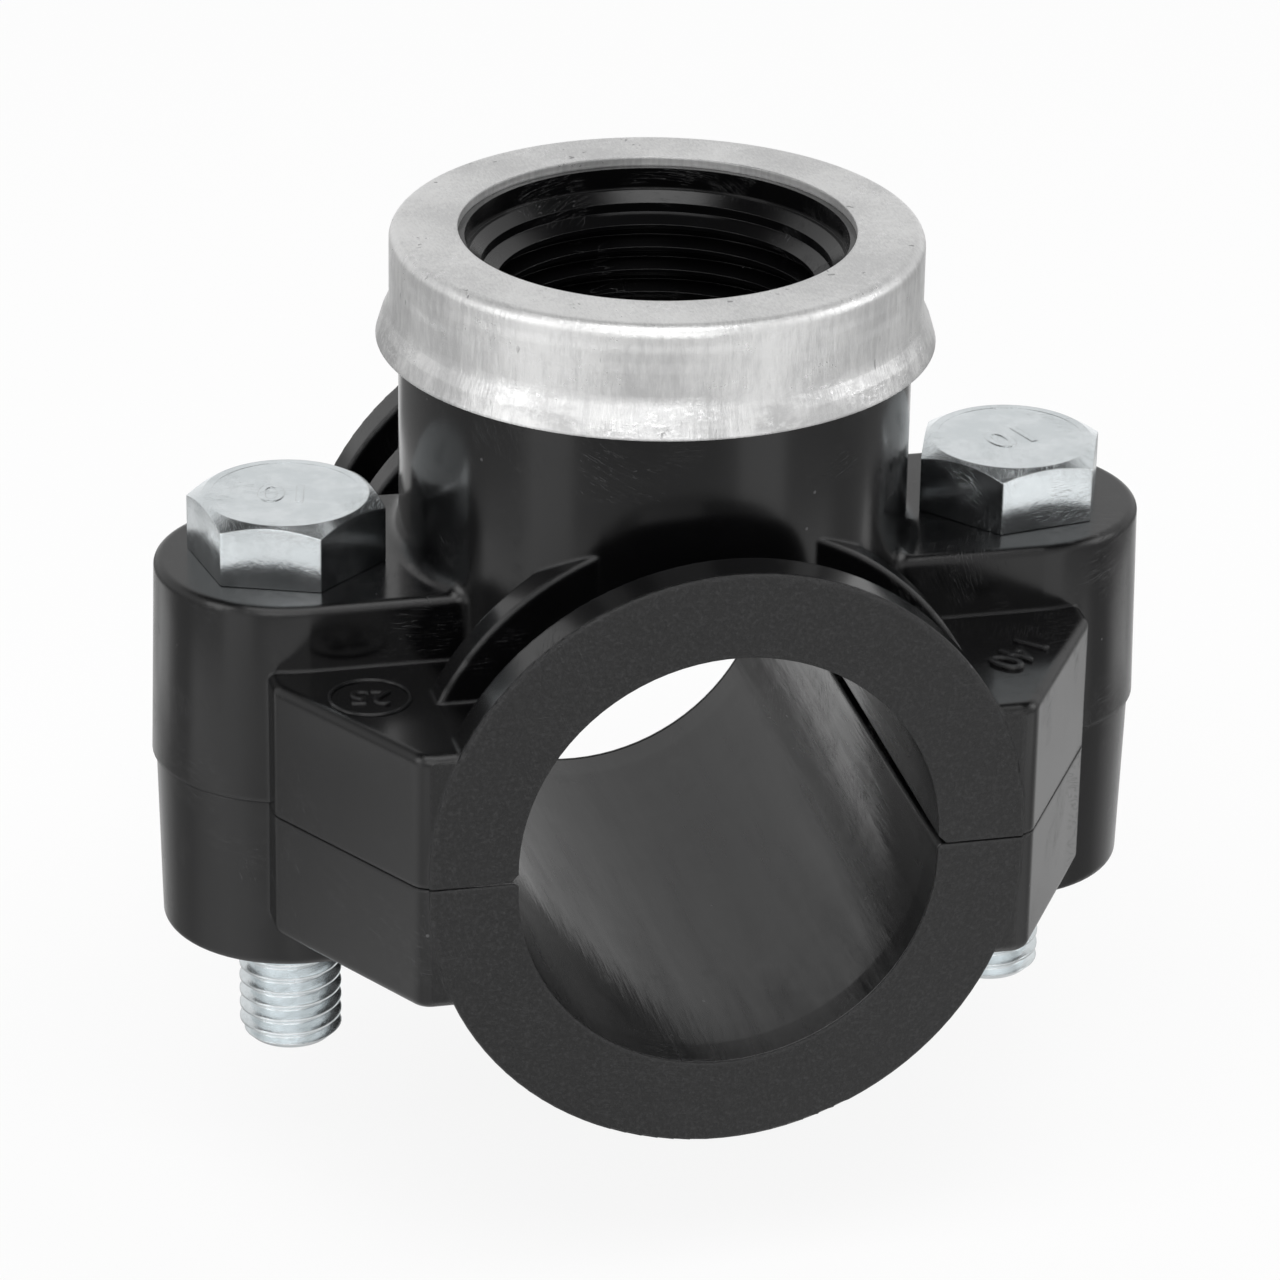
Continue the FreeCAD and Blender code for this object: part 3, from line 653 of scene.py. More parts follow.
@dataclass(frozen=True)
class BlackPlastic(Finish):
    """Black moulded plastic, glossy in the body and grained on the end flanges.

    Attributes:
        colour: Colour of the plastic.
        lift: How much brighter its clouds are.
        pale: Colour of scratches, dust and grain tips, and of the painted highlight along the
            edges.
        gloss: Roughness of the smoothest and dullest places.
        end_gloss: Roughness of the end faces.
        bore_gloss: What the drawn lines in the bore take from or add to the roughness.
        end_level: Distance of a flange's end face from the middle.
        fade: Width in which one finish gives way to the next.
        bore_middle: How far the bore's middle lies under the origin.
        bore_reach: Radius round the pipe's axis that takes in the bore's wall.
        outlet_reach: Radius round the outlet's axis that takes in its thread.
        outlet_foot: Height where the outlet's thread starts.
        foot_height: Heights over which the tube's sheltered foot ends.
        foot_length: Distances along the pipe over which it ends.
        foot_width: Distances across the bolts over which it ends.
        edge_radius: Rounding of the body's edges.
        thread_edge: Rounding of the thread's edges.
        grain_scale: Fineness of the grain.
        scratch_scale: Fineness of the scratches.
        dust_scale: Fineness of the dust.
        dust_size: Size of a speck.
        cloud_scale: Fineness of the clouds.
        drawn_scale: Fineness of the bore's drawn lines.
        shows: How strongly scratches, dust, the painted edge highlight and grain tips show in the
            colour.
        swell: Fineness, strength and height in metres of the surface's slow swell.
        grain_rise: Height of the grain on the body and on the end faces.
        drawn_rise: Height of the bore's drawn lines.
        scratch_depth: Depth of the scratches.
        relief: Strength and height in metres of the fine relief.
        bending: Index of refraction.
    """

    colour: Colour = (0.0022, 0.0022, 0.0024, 1.0)
    lift: float = 1.35
    pale: Colour = (0.085, 0.085, 0.088, 1.0)
    gloss: Span = (0.11, 0.22)
    end_gloss: float = 0.46
    bore_gloss: Span = (-0.14, 0.26)
    end_level: float = 32.8 * MM
    fade: float = 0.2 * MM
    bore_middle: float = 1.0 * MM
    bore_reach: float = 21.4 * MM
    outlet_reach: float = 18.6 * MM
    outlet_foot: float = 24.0 * MM
    foot_height: Span = (31.0 * MM, 32.5 * MM)
    foot_length: Span = (26.0 * MM, 28.0 * MM)
    foot_width: Span = (16.0 * MM, 18.0 * MM)
    edge_radius: float = 0.55 * MM
    thread_edge: float = 0.08 * MM
    grain_scale: float = 2600.0
    scratch_scale: float = 260.0
    dust_scale: float = 420.0
    dust_size: float = 0.07
    cloud_scale: float = 55.0
    drawn_scale: float = 420.0
    shows: tuple[float, float, float, float] = (0.35, 0.8, 0.32, 0.2)
    swell: tuple[float, float, float] = (75.0, 0.05, 1.2 * MM)
    grain_rise: Span = (0.05, 7.0)
    drawn_rise: float = 2.2
    scratch_depth: float = 0.4
    relief: Span = (0.55, 0.06 * MM)
    bending: float = 1.53

    def bore_mask(self, wires: Wires, split: bpy.types.NodeOutputs) -> bpy.types.NodeSocket:
        """Mask of the pipe bore.

        Args:
            wires: The material's wires.
            split: The place's three parts.

        Returns:
            1 on the bore's wall and 0 elsewhere.
        """
        reach = wires.reach(split["X"], wires.plus(split["Z"], self.bore_middle))
        return wires.band(reach, self.bore_reach, self.bore_reach - self.fade)

    def outlet_mask(self, wires: Wires, split: bpy.types.NodeOutputs) -> bpy.types.NodeSocket:
        """Mask of the outlet's inside.

        Args:
            wires: The material's wires.
            split: The place's three parts.

        Returns:
            1 on the thread, ledge and mouth, and 0 elsewhere.
        """
        reach = wires.reach(split["X"], split["Y"])
        inside = wires.math("LESS_THAN", reach, self.outlet_reach)
        return wires.times(inside, wires.math("GREATER_THAN", split["Z"], self.outlet_foot))

    def open_mask(self, wires: Wires, split: bpy.types.NodeOutputs) -> bpy.types.NodeSocket:
        """Mask of all but the sheltered foot of the tube between the end flanges.

        Args:
            wires: The material's wires.
            split: The place's three parts.

        Returns:
            0 in the sheltered foot and 1 elsewhere.
        """
        high = wires.band(split["Z"], *self.foot_height)
        outer = wires.band(wires.size(split["Y"]), *self.foot_length)
        beside = wires.band(wires.size(split["X"]), *self.foot_width)
        return wires.most(high, wires.most(outer, beside))

    def build(self, shop: Workshop, name: str) -> bpy.types.Material:
        """Build the material.

        Args:
            shop: The shared groups.
            name: Name of the material.

        Returns:
            The material.
        """
        material, wires, shader, place = self.start(name)
        split = wires.parts(place)
        ends = wires.band(wires.size(split["Y"]), self.end_level - self.fade, self.end_level)
        bore = self.bore_mask(wires, split)
        outlet = self.outlet_mask(wires, split)
        grain = self.shared(wires, shop.grain, Place=place, Scale=self.grain_scale, Amount=1.0)
        scratches = self.shared(wires, shop.scratches, Place=place,
                                Scale=self.scratch_scale, Amount=1.0)
        scratched = wires.times(scratches["Mask"], self.open_mask(wires, split))
        dust = self.shared(wires, shop.dust, Place=place, Scale=self.dust_scale,
                           Size=self.dust_size)
        edges = self.shared(wires, shop.edges, Radius=wires.spread(
            outlet, self.edge_radius, self.thread_edge))
        clouds = wires.noise(place, self.cloud_scale, 4.0, 0.6)
        drawn = wires.noise(wires.stretched(place, (1.0, 0.10, 1.0)), self.drawn_scale, 4.0, 0.65)

        brighter = tuple(v * self.lift for v in self.colour[:3]) + (1.0,)
        colour = wires.blend(wires.band(clouds, 0.35, 0.7), self.colour, brighter)
        # Scratches, dust and grain tips are real pale marks; the pale along the edges is a
        # painted highlight.
        marks = 0.0
        tips = wires.times(ends, grain["Mask"])
        for mark, show in zip((scratched, dust["Mask"], edges["Mask"], tips), self.shows):
            marks = wires.most(marks, wires.times(mark, show))
        wires.join(wires.blend(marks, colour, self.pale), shader.inputs["Base Color"])

        gloss = wires.plus(wires.spread(clouds, *self.gloss),
                           wires.times(bore, wires.spread(drawn, *self.bore_gloss)))
        wires.join(wires.between(ends, gloss, self.end_gloss), shader.inputs["Roughness"])

        swell_scale, swell_strength, swell_rise = self.swell
        wave = wires.bump(wires.noise(place, swell_scale, 2.0, 0.5), swell_strength, swell_rise,
                          edges["Normal"])
        height = wires.times(grain["Height"], wires.spread(ends, *self.grain_rise))
        height = wires.plus(height, wires.times(bore, wires.times(drawn, self.drawn_rise)))
        height = wires.minus(height, wires.times(scratched, self.scratch_depth))
        wires.join(wires.bump(height, *self.relief, wave), shader.inputs["Normal"])
        shader.inputs["IOR"].default_value = self.bending
        return material


@dataclass(frozen=True)
class PaleMetal(Finish):
    """Drawn sheet metal of the reinforcing ring, scuffed and streaked.

    Attributes:
        colour: Brightest tone of the sheet.
        dull: Darkest tone of the sheet.
        skirt: Colour of the flared skirt.
        rubbed: Colour of rubbed spots.
        nicked: Colour of nicks.
        scratched: Colour of scratches.
        skirt_level: Height where the skirt starts.
        skirt_fade: Half the height over which it starts.
        metallic: Share of metal in the finish.
        gloss: Roughness of the bright and the dull tone.
        edge_radius: Rounding of the edges.
        streak_scale: Fineness of the streaks.
        scratch_scale: Fineness of the scratches.
        fine_share: Share of the streaks in the tone.
        cloud_share: Share of the clouds in the tone.
        fold_start: Heights over which the low fold rises from below.
        fold_end: Heights over which it falls again above.
        fold_sway: How far the fold wanders up.
        relief: Strength and height in metres of the relief.
    """

    colour: Colour = (0.82, 0.82, 0.815, 1.0)
    dull: Colour = (0.62, 0.62, 0.62, 1.0)
    skirt: Colour = (0.52, 0.52, 0.52, 1.0)
    rubbed: Colour = (0.93, 0.93, 0.93, 1.0)
    nicked: Colour = (0.16, 0.16, 0.165, 1.0)
    scratched: Colour = (0.92, 0.92, 0.92, 1.0)
    skirt_level: float = 42.0 * MM
    skirt_fade: float = 0.9 * MM
    metallic: float = 0.7
    gloss: Span = (0.26, 0.50)
    edge_radius: float = 0.3 * MM
    streak_scale: float = 1500.0
    scratch_scale: float = 420.0
    fine_share: float = 0.42
    cloud_share: float = 0.58
    fold_start: Span = (45.2 * MM, 46.5 * MM)
    fold_end: Span = (47.0 * MM, 48.3 * MM)
    fold_sway: float = 1.0 * MM
    relief: Span = (0.45, 0.28 * MM)

    def build(self, shop: Workshop, name: str) -> bpy.types.Material:
        """Build the material from streaks, clouds and scratches.

        Args:
            shop: The shared groups.
            name: Name of the material.

        Returns:
            The material.
        """
        material, wires, shader, place = self.start(name)
        streaks = self.shared(wires, shop.streaks, Place=place, Fineness=self.streak_scale)
        clouds = streaks["Clouds"]
        scratches = self.shared(wires, shop.scratches, Place=place,
                                Scale=self.scratch_scale, Amount=1.0)
        edges = self.shared(wires, shop.edges, Radius=self.edge_radius)
        facing = wires.parts(wires.add("ShaderNodeNewGeometry").outputs["True Normal"])
        top = wires.band(facing["Z"], 0.55, 0.95)
        brushed = wires.noise(wires.stretched(place, (2.2, 0.7, 1.0)), 1900.0, 3.0, 0.7)
        fine = wires.between(top, streaks["Streaks"], brushed)
        tone = wires.plus(wires.times(fine, self.fine_share),
                          wires.times(clouds, self.cloud_share))
        skirt = self.skirt_mask(wires, place)
        scuff = self.scuffs(wires, place)
        nick = self.nicks(wires, place)

        colour = wires.blend(wires.band(tone, 0.36, 0.62), self.dull, self.colour)
        colour = wires.blend(wires.times(skirt, 0.75), colour, self.skirt)
        colour = wires.blend(wires.times(scuff, wires.spread(skirt, 0.3, 0.9)), colour,
                             self.rubbed)
        colour = wires.blend(wires.times(nick, 0.65), colour, self.nicked)
        colour = wires.blend(wires.times(scratches["Mask"], 0.4), colour, self.scratched)
        wires.join(colour, shader.inputs["Base Color"])
        shader.inputs["Metallic"].default_value = self.metallic
        wires.join(wires.minus(wires.spread(tone, *self.gloss), wires.times(scuff, 0.14)),
                   shader.inputs["Roughness"])

        relief = wires.plus(wires.times(fine, 0.6), wires.times(clouds, 1.8))
        relief = wires.plus(relief, wires.times(scuff, 0.1))
        relief = wires.plus(relief, wires.times(self.fold(wires, place), 1.1))
        relief = wires.minus(relief, wires.times(nick, 0.5))
        wires.join(wires.bump(relief, *self.relief, edges["Normal"]), shader.inputs["Normal"])
        return material

    def skirt_mask(self, wires: Wires, place: bpy.types.NodeSocket) -> bpy.types.NodeSocket:
        """Mask of the flared skirt, broken up where the drawing die has rubbed it.

        Args:
            wires: The material's wires.
            place: The piece's own place.

        Returns:
            1 on the skirt and 0 elsewhere.
        """
        low = wires.band(wires.parts(place)["Z"], self.skirt_level + self.skirt_fade,
                         self.skirt_level - self.skirt_fade)
        rubbed = wires.noise(wires.stretched(place, (1.0, 1.0, 1.8)), 230.0, 4.0, 0.65)
        return wires.times(low, wires.band(rubbed, 0.40, 0.60))

    @staticmethod
    def scuffs(wires: Wires, place: bpy.types.NodeSocket) -> bpy.types.NodeSocket:
        """Mask of small bright rubbed spots, wider than high.

        Args:
            wires: The material's wires.
            place: The piece's own place.

        Returns:
            1 on a spot and 0 elsewhere.
        """
        spots = wires.noise(wires.stretched(place, (1.0, 1.0, 1.6)), 1500.0, 3.0, 0.65)
        patch = wires.noise(wires.stretched(place, (1.0, 1.0, 3.0)), 120.0, 2.0, 0.5)
        return wires.times(wires.band(spots, 0.44, 0.74), wires.band(patch, 0.42, 0.62))

    def fold(self, wires: Wires, place: bpy.types.NodeSocket) -> bpy.types.NodeSocket:
        """Low round fold that runs round the wall under its shoulder, a little uneven.

        Args:
            wires: The material's wires.
            place: The piece's own place.

        Returns:
            Height of the fold, from 0 to 1.
        """
        uneven = wires.noise(place, 60.0, 2.0, 0.5)
        level = wires.plus(wires.parts(place)["Z"], wires.times(uneven, self.fold_sway))
        return wires.times(wires.band(level, *self.fold_start),
                           wires.band(level, *reversed(self.fold_end)))

    @staticmethod
    def nicks(wires: Wires, place: bpy.types.NodeSocket) -> bpy.types.NodeSocket:
        """Mask of short dark nicks, longer than wide, gathered in patches.

        Args:
            wires: The material's wires.
            place: The piece's own place.

        Returns:
            1 in a nick and 0 elsewhere.
        """
        cells = wires.noise(wires.stretched(place, (1.0, 1.0, 0.35)), 950.0, 2.0, 0.5)
        patch = wires.noise(place, 170.0, 2.0, 0.5)
        return wires.times(wires.band(cells, 0.685, 0.73), wires.band(patch, 0.50, 0.62))


@dataclass(frozen=True)
class PlatedSteel(Finish):
    """Bright zinc plating with a faint blue tint and light rub marks.

    Attributes:
        colour: Colour of the plating.
        worn: Colour of its duller mottles.
        rubbed: Colour of rubbed edges.
        gloss: Roughness of the dull and the bright mottles.
        edge_radius: Rounding of the edges.
        scratch_scale: Fineness of the scratches.
        scratch_depth: Depth of the scratches.
        grain_scale: Fineness of the grain.
        mottle_scale: Fineness of the mottles.
        relief: Strength and height in metres of the relief.
    """

    colour: Colour = (0.92, 0.965, 0.985, 1.0)
    worn: Colour = (0.80, 0.85, 0.87, 1.0)
    rubbed: Colour = (0.86, 0.89, 0.9, 1.0)
    gloss: Span = (0.15, 0.32)
    edge_radius: float = 0.2 * MM
    scratch_scale: float = 500.0
    scratch_depth: float = 0.6
    grain_scale: float = 1500.0
    mottle_scale: float = 260.0
    relief: Span = (0.4, 0.05 * MM)

    def build(self, shop: Workshop, name: str) -> bpy.types.Material:
        """Build the material from mottled plating and scratches.

        Args:
            shop: The shared groups.
            name: Name of the material.

        Returns:
            The material.
        """
        material, wires, shader, place = self.start(name)
        scratches = self.shared(wires, shop.scratches, Place=place,
                                Scale=self.scratch_scale, Amount=1.0)
        edges = self.shared(wires, shop.edges, Radius=self.edge_radius)
        grain = self.shared(wires, shop.grain, Place=place, Scale=self.grain_scale, Amount=1.0)
        mottle = wires.noise(place, self.mottle_scale, 5.0, 0.62)
        colour = wires.blend(wires.band(mottle, 0.38, 0.66), self.worn, self.colour)
        colour = wires.blend(wires.times(edges["Mask"], 0.7), colour, self.rubbed)
        wires.join(colour, shader.inputs["Base Color"])
        shader.inputs["Metallic"].default_value = 1.0
        wires.join(wires.spread(mottle, *self.gloss), shader.inputs["Roughness"])
        height = wires.minus(grain["Height"], wires.times(scratches["Mask"], self.scratch_depth))
        wires.join(wires.bump(height, *self.relief, edges["Normal"]), shader.inputs["Normal"])
        return material


@dataclass(frozen=True)
class SoftRubber(Finish):
    """Dull black rubber of the seal.

    Attributes:
        colour: Colour of the rubber.
        bloomed: Colour where it has bloomed.
        dusted: Colour of dust.
        gloss: Roughness of the plain and the bloomed places.
        relief: Strength and height in metres of the grain.
    """

    colour: Colour = (0.014, 0.014, 0.014, 1.0)
    bloomed: Colour = (0.03, 0.03, 0.03, 1.0)
    dusted: Colour = (0.08, 0.08, 0.08, 1.0)
    gloss: Span = (0.6, 0.8)
    relief: Span = (0.4, 0.03 * MM)

    def build(self, shop: Workshop, name: str) -> bpy.types.Material:
        """Build the material from grain and dust.

        Args:
            shop: The shared groups.
            name: Name of the material.

        Returns:
            The material.
        """
        material, wires, shader, place = self.start(name)
        grain = self.shared(wires, shop.grain, Place=place, Scale=1800.0, Amount=1.0)
        dust = self.shared(wires, shop.dust, Place=place, Scale=800.0, Size=0.05)
        bloom = wires.noise(place, 140.0, 3.0)
        colour = wires.blend(wires.band(bloom, 0.4, 0.8), self.colour, self.bloomed)
        wires.join(wires.blend(dust["Mask"], colour, self.dusted), shader.inputs["Base Color"])
        wires.join(wires.spread(bloom, *self.gloss), shader.inputs["Roughness"])
        wires.join(wires.bump(grain["Height"], *self.relief), shader.inputs["Normal"])
        return material


# The bolts.


@dataclass(frozen=True)
class Thread:
    """A screw thread, with sizes in metres.

    Attributes:
        crest: Outer radius of the ridges.
        root: Inner radius of the grooves.
        pitch: Rise in one turn.
        flat: Share of the pitch that is flat at crest and root.
        steps: Faces in one turn.
        merge: Reach within which points become one.
    """

    crest: float
    root: float
    pitch: float
    flat: float = 0.125
    steps: int = 72
    merge: float = 2e-7

    def rod(self, name: str, low: float, high: float) -> bpy.types.Object:
        """Threaded rod round the Z axis between two heights.

        Args:
            name: Name of the piece.
            low: Lower end.
            high: Upper end.

        Returns:
            A closed rod with flat ends.
        """
        start = low - 2 * self.pitch
        turns = math.ceil((high - low) / self.pitch) + 4
        slope = (0.5 - self.flat) * self.pitch
        heights = (0.0, self.flat * self.pitch, self.flat * self.pitch + slope,
                   2 * self.flat * self.pitch + slope, self.pitch)
        reaches = (self.root, self.root, self.crest, self.crest, self.root)
        rod = open_line(name, [(r, 0.0, start + z) for r, z in zip(reaches, heights)])
        apply_modifier(rod, "SCREW", angle=math.tau, screw_offset=self.pitch,
                       iterations=turns, steps=self.steps, render_steps=self.steps, axis="Z",
                       use_merge_vertices=True, merge_threshold=self.merge / 2)
        clean_mesh(rod, self.merge)
        cut_level(rod, high, Keep.BELOW)
        cut_level(rod, low, Keep.ABOVE)
        clean_mesh(rod, self.merge)
        return rod


@dataclass(frozen=True)
class HexBolt:
    """A plated hexagon bolt that stands for one plain CAD bolt.

    Attributes:
        node: CAD node that it replaces.
        body: Body that it rides on.
        turn: Turn of the head in degrees.
        flats: Width of the head across its flats.
        head_height: Height of the head.
        circle: Radius of the flat circle on the head.
        shank: Radius of the shank.
        thread: Thread of the rod.
        tip: How much the rod's end is turned off.
        tool_reach: Length of the cones that turn off the tip.
        rod_entry: How far the rod goes into the head.
        collar_share: Radius of the collar under the head, as a share of the shank's.
        collar_height: Height of the collar.
        edge: Rounding of the head's edges.
        lid_reach: Height of the cone that turns off the head's corners.
        lid_angle: Slope of that cone in degrees.
        dish_share: Radius of the sunk middle, as a share of the circle's.
        dish_depth: Depth of the sunk middle.
        number: Plain strength number on the head.
        number_height: Height of its figures.
        number_rise: How far they stand up.
        number_turn: Turn of the number from the head's, in degrees.
        merge: Reach within which points become one.
        crisp: Angle in degrees from which an edge stays crisp.
    """

    node: str
    body: str
    turn: float
    flats: float = 16.55 * MM
    head_height: float = 6.35 * MM
    circle: float = 7.85 * MM
    shank: float = 5.0 * MM
    thread: Thread = Thread(crest=4.98 * MM, root=4.12 * MM, pitch=1.5 * MM)
    tip: float = 0.9 * MM
    tool_reach: float = 60.0 * MM
    rod_entry: float = 1.0 * MM
    collar_share: float = 1.32
    collar_height: float = 0.04 * MM
    edge: float = 0.12 * MM
    lid_reach: float = 12.0 * MM
    lid_angle: float = 30.0
    dish_share: float = 0.9
    dish_depth: float = 0.02 * MM
    number: str = "10"
    number_height: float = 3.9 * MM
    number_rise: float = 0.24 * MM
    number_turn: float = 188.0
    merge: float = 1e-7
    crisp: float = 28.0

    def build(self, material: bpy.types.Material) -> bpy.types.Object:
        """Model, place and dress the bolt.

        Args:
            material: Plating.

        Returns:
            The finished bolt.
        """
        low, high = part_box(self.node)
        middle = (low + high) / 2
        seat = high.z - self.head_height
        bolt = self.head(seat)
        collar = cylinder(self.node + "_collar", self.shank * self.collar_share,
                          seat - self.collar_height, seat + MM)
        combine(bolt, collar, Join.UNION)
        combine(bolt, self.rod(low.z, seat), Join.UNION)
        with editing(bolt):
            bpy.ops.transform.translate(value=(middle.x, middle.y, 0.0))
        self.mark(bolt, (middle.x, middle.y, high.z - self.number_rise / 2))
        clean_mesh(bolt, self.merge)
        soften(bolt, self.crisp)
        dress(bolt, material)
        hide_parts(self.node)
        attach(bolt, self.body)
        return bolt

    def rod(self, low: float, seat: float) -> bpy.types.Object:
        """Threaded rod with its end turned off.

        Args:
            low: Height of its tip.
            seat: Height of the head's underside.

        Returns:
            The rod, round the Z axis.
        """
        rod = self.thread.rod(self.node + "_rod", low, seat + self.rod_entry)
        point = cone(self.node + "_point", self.shank - self.tip, self.shank + self.tool_reach,
                     low, low + self.tool_reach + self.tip, sides=96)
        combine(rod, point, Join.INTERSECT)
        return rod

    def head(self, seat: float) -> bpy.types.Object:
        """Hexagon head with its corners turned off to a flat circle.

        Args:
            seat: Height of the head's underside.

        Returns:
            The head, round the Z axis.
        """
        top = seat + self.head_height
        corner = self.flats / math.sqrt(3)
        clear_selection()
        bpy.ops.mesh.primitive_cylinder_add(
            vertices=6, radius=corner, depth=self.head_height,
            location=(0, 0, (seat + top) / 2), rotation=(0, 0, math.radians(self.turn - 90)))
        head = settle(named(self.node + "_threaded"))
        apply_modifier(head, "BEVEL", width=self.edge, segments=2, limit_method="ANGLE",
                       angle_limit=math.radians(40))
        wide = self.circle + self.lid_reach / math.tan(math.radians(self.lid_angle))
        lid = cone(self.node + "_lid", wide, self.circle, top - self.lid_reach, top)
        combine(head, lid, Join.INTERSECT)
        dish = cylinder(self.node + "_dish", self.circle * self.dish_share,
                        top - self.dish_depth, top + MM)
        combine(head, dish, Join.DIFFERENCE)
        return head

    def mark(self, bolt: bpy.types.Object, where: Place) -> None:
        """Raised plain strength number on the head.

        Args:
            bolt: The bolt that carries the number.
            where: Middle of the number.
        """
        number = raised_text(self.number, self.number_height, self.number_rise,
                             self.node + "_number")
        place_flat(number, where, self.turn + self.number_turn)
        join_into(bolt, number)


# The marks.


def raised_text(text: str, height: float, rise: float, name: str) -> bpy.types.Object:
    """Plain raised figures as a mesh, lying flat round their middle.

    Args:
        text: The figures.
        height: Height of a figure.
        rise: How far they stand up.
        name: Name of the piece.

    Returns:
        The figures as a mesh.
    """
    size_per_height = 1.4
    clear_selection()
    bpy.ops.object.text_add()
    piece = named(name)
    piece.data.body = text
    piece.data.size = height * size_per_height
    piece.data.extrude = rise / 2
    piece.data.bevel_depth = rise / 4
    piece.data.align_x = "CENTER"
    piece.data.align_y = "CENTER"
    piece.data.resolution_u = 4
    bpy.ops.object.convert(target="MESH")
    return settle(bpy.context.object)


def place_flat(piece: bpy.types.Object, where: Place, degrees: float) -> None:
    """Turn a flat piece about Z and move it, then put its place into its mesh.

    Args:
        piece: The piece, round the origin.
        where: Its place.
        degrees: Its turn.
    """
    piece.rotation_euler = (0, 0, math.radians(degrees))
    piece.location = where
    settle(piece)


@dataclass(frozen=True)
class GussetMarks:
    """Raised generic marks on the tops of the front gussets, with sizes in metres.

    Attributes:
        level: Height of the gussets' tops.
        rise: How far the ring mark's figures stand up.
        ring_place: Middle of the ring mark.
        ring_radius: Radius of its ring.
        ring_wire: Radius of the ring's section.
        ring_lift: Height of the ring mark's middle over the gusset.
        ring_number: Figures in the ring.
        ring_figure: Height of those figures.
        ring_turn: Turn of the ring mark in degrees.
        size_place: Middle of the size figures.
        size_number: The size figures.
        size_figure: Height of the size figures.
        size_share: Their rise, as a share of the ring mark's.
        size_lift: Height of their middle over the gusset, as a share of the rise.
        size_turn: Turn of the size figures in degrees.
        crisp: Angle in degrees from which an edge stays crisp.
    """

    level: float = 12.5 * MM
    rise: float = 0.3 * MM
    ring_place: Span = (-31.2 * MM, -19.3 * MM)
    ring_radius: float = 3.75 * MM
    ring_wire: float = 0.2 * MM
    ring_lift: float = 0.05 * MM
    ring_number: str = "25"
    ring_figure: float = 2.9 * MM
    ring_turn: float = 170.0
    size_place: Span = (30.3 * MM, -21.8 * MM)
    size_number: str = "140"
    size_figure: float = 3.5 * MM
    size_share: float = 1.3
    size_lift: float = 0.3
    size_turn: float = 225.0
    crisp: float = 40.0

    def build(self, material: bpy.types.Material) -> list[bpy.types.Object]:
        """Model the ring mark on the left and the figures on the right.

        Args:
            material: The plastic.

        Returns:
            The pieces.
        """
        pieces = [self.ring_mark(), self.size_mark()]
        for piece in pieces:
            soften(piece, self.crisp)
            dress(piece, material)
            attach(piece, "upper")
        return pieces

    def ring_mark(self) -> bpy.types.Object:
        """Raised thin ring round a plain field with two figures.

        Returns:
            The ring mark.
        """
        clear_selection()
        bpy.ops.mesh.primitive_torus_add(
            major_segments=64, minor_segments=10, major_radius=self.ring_radius,
            minor_radius=self.ring_wire)
        piece = settle(named("ring_mark"))
        join_into(piece, raised_text(self.ring_number, self.ring_figure, self.rise,
                                     "ring_mark_figure"))
        place_flat(piece, (*self.ring_place, self.level + self.ring_lift), self.ring_turn)
        return piece

    def size_mark(self) -> bpy.types.Object:
        """Raised figures on the right gusset.

        Returns:
            The figures.
        """
        piece = raised_text(self.size_number, self.size_figure, self.rise * self.size_share,
                            "size_mark")
        place_flat(piece, (*self.size_place, self.level + self.rise * self.size_lift),
                   self.size_turn)
        return piece


# The studio.


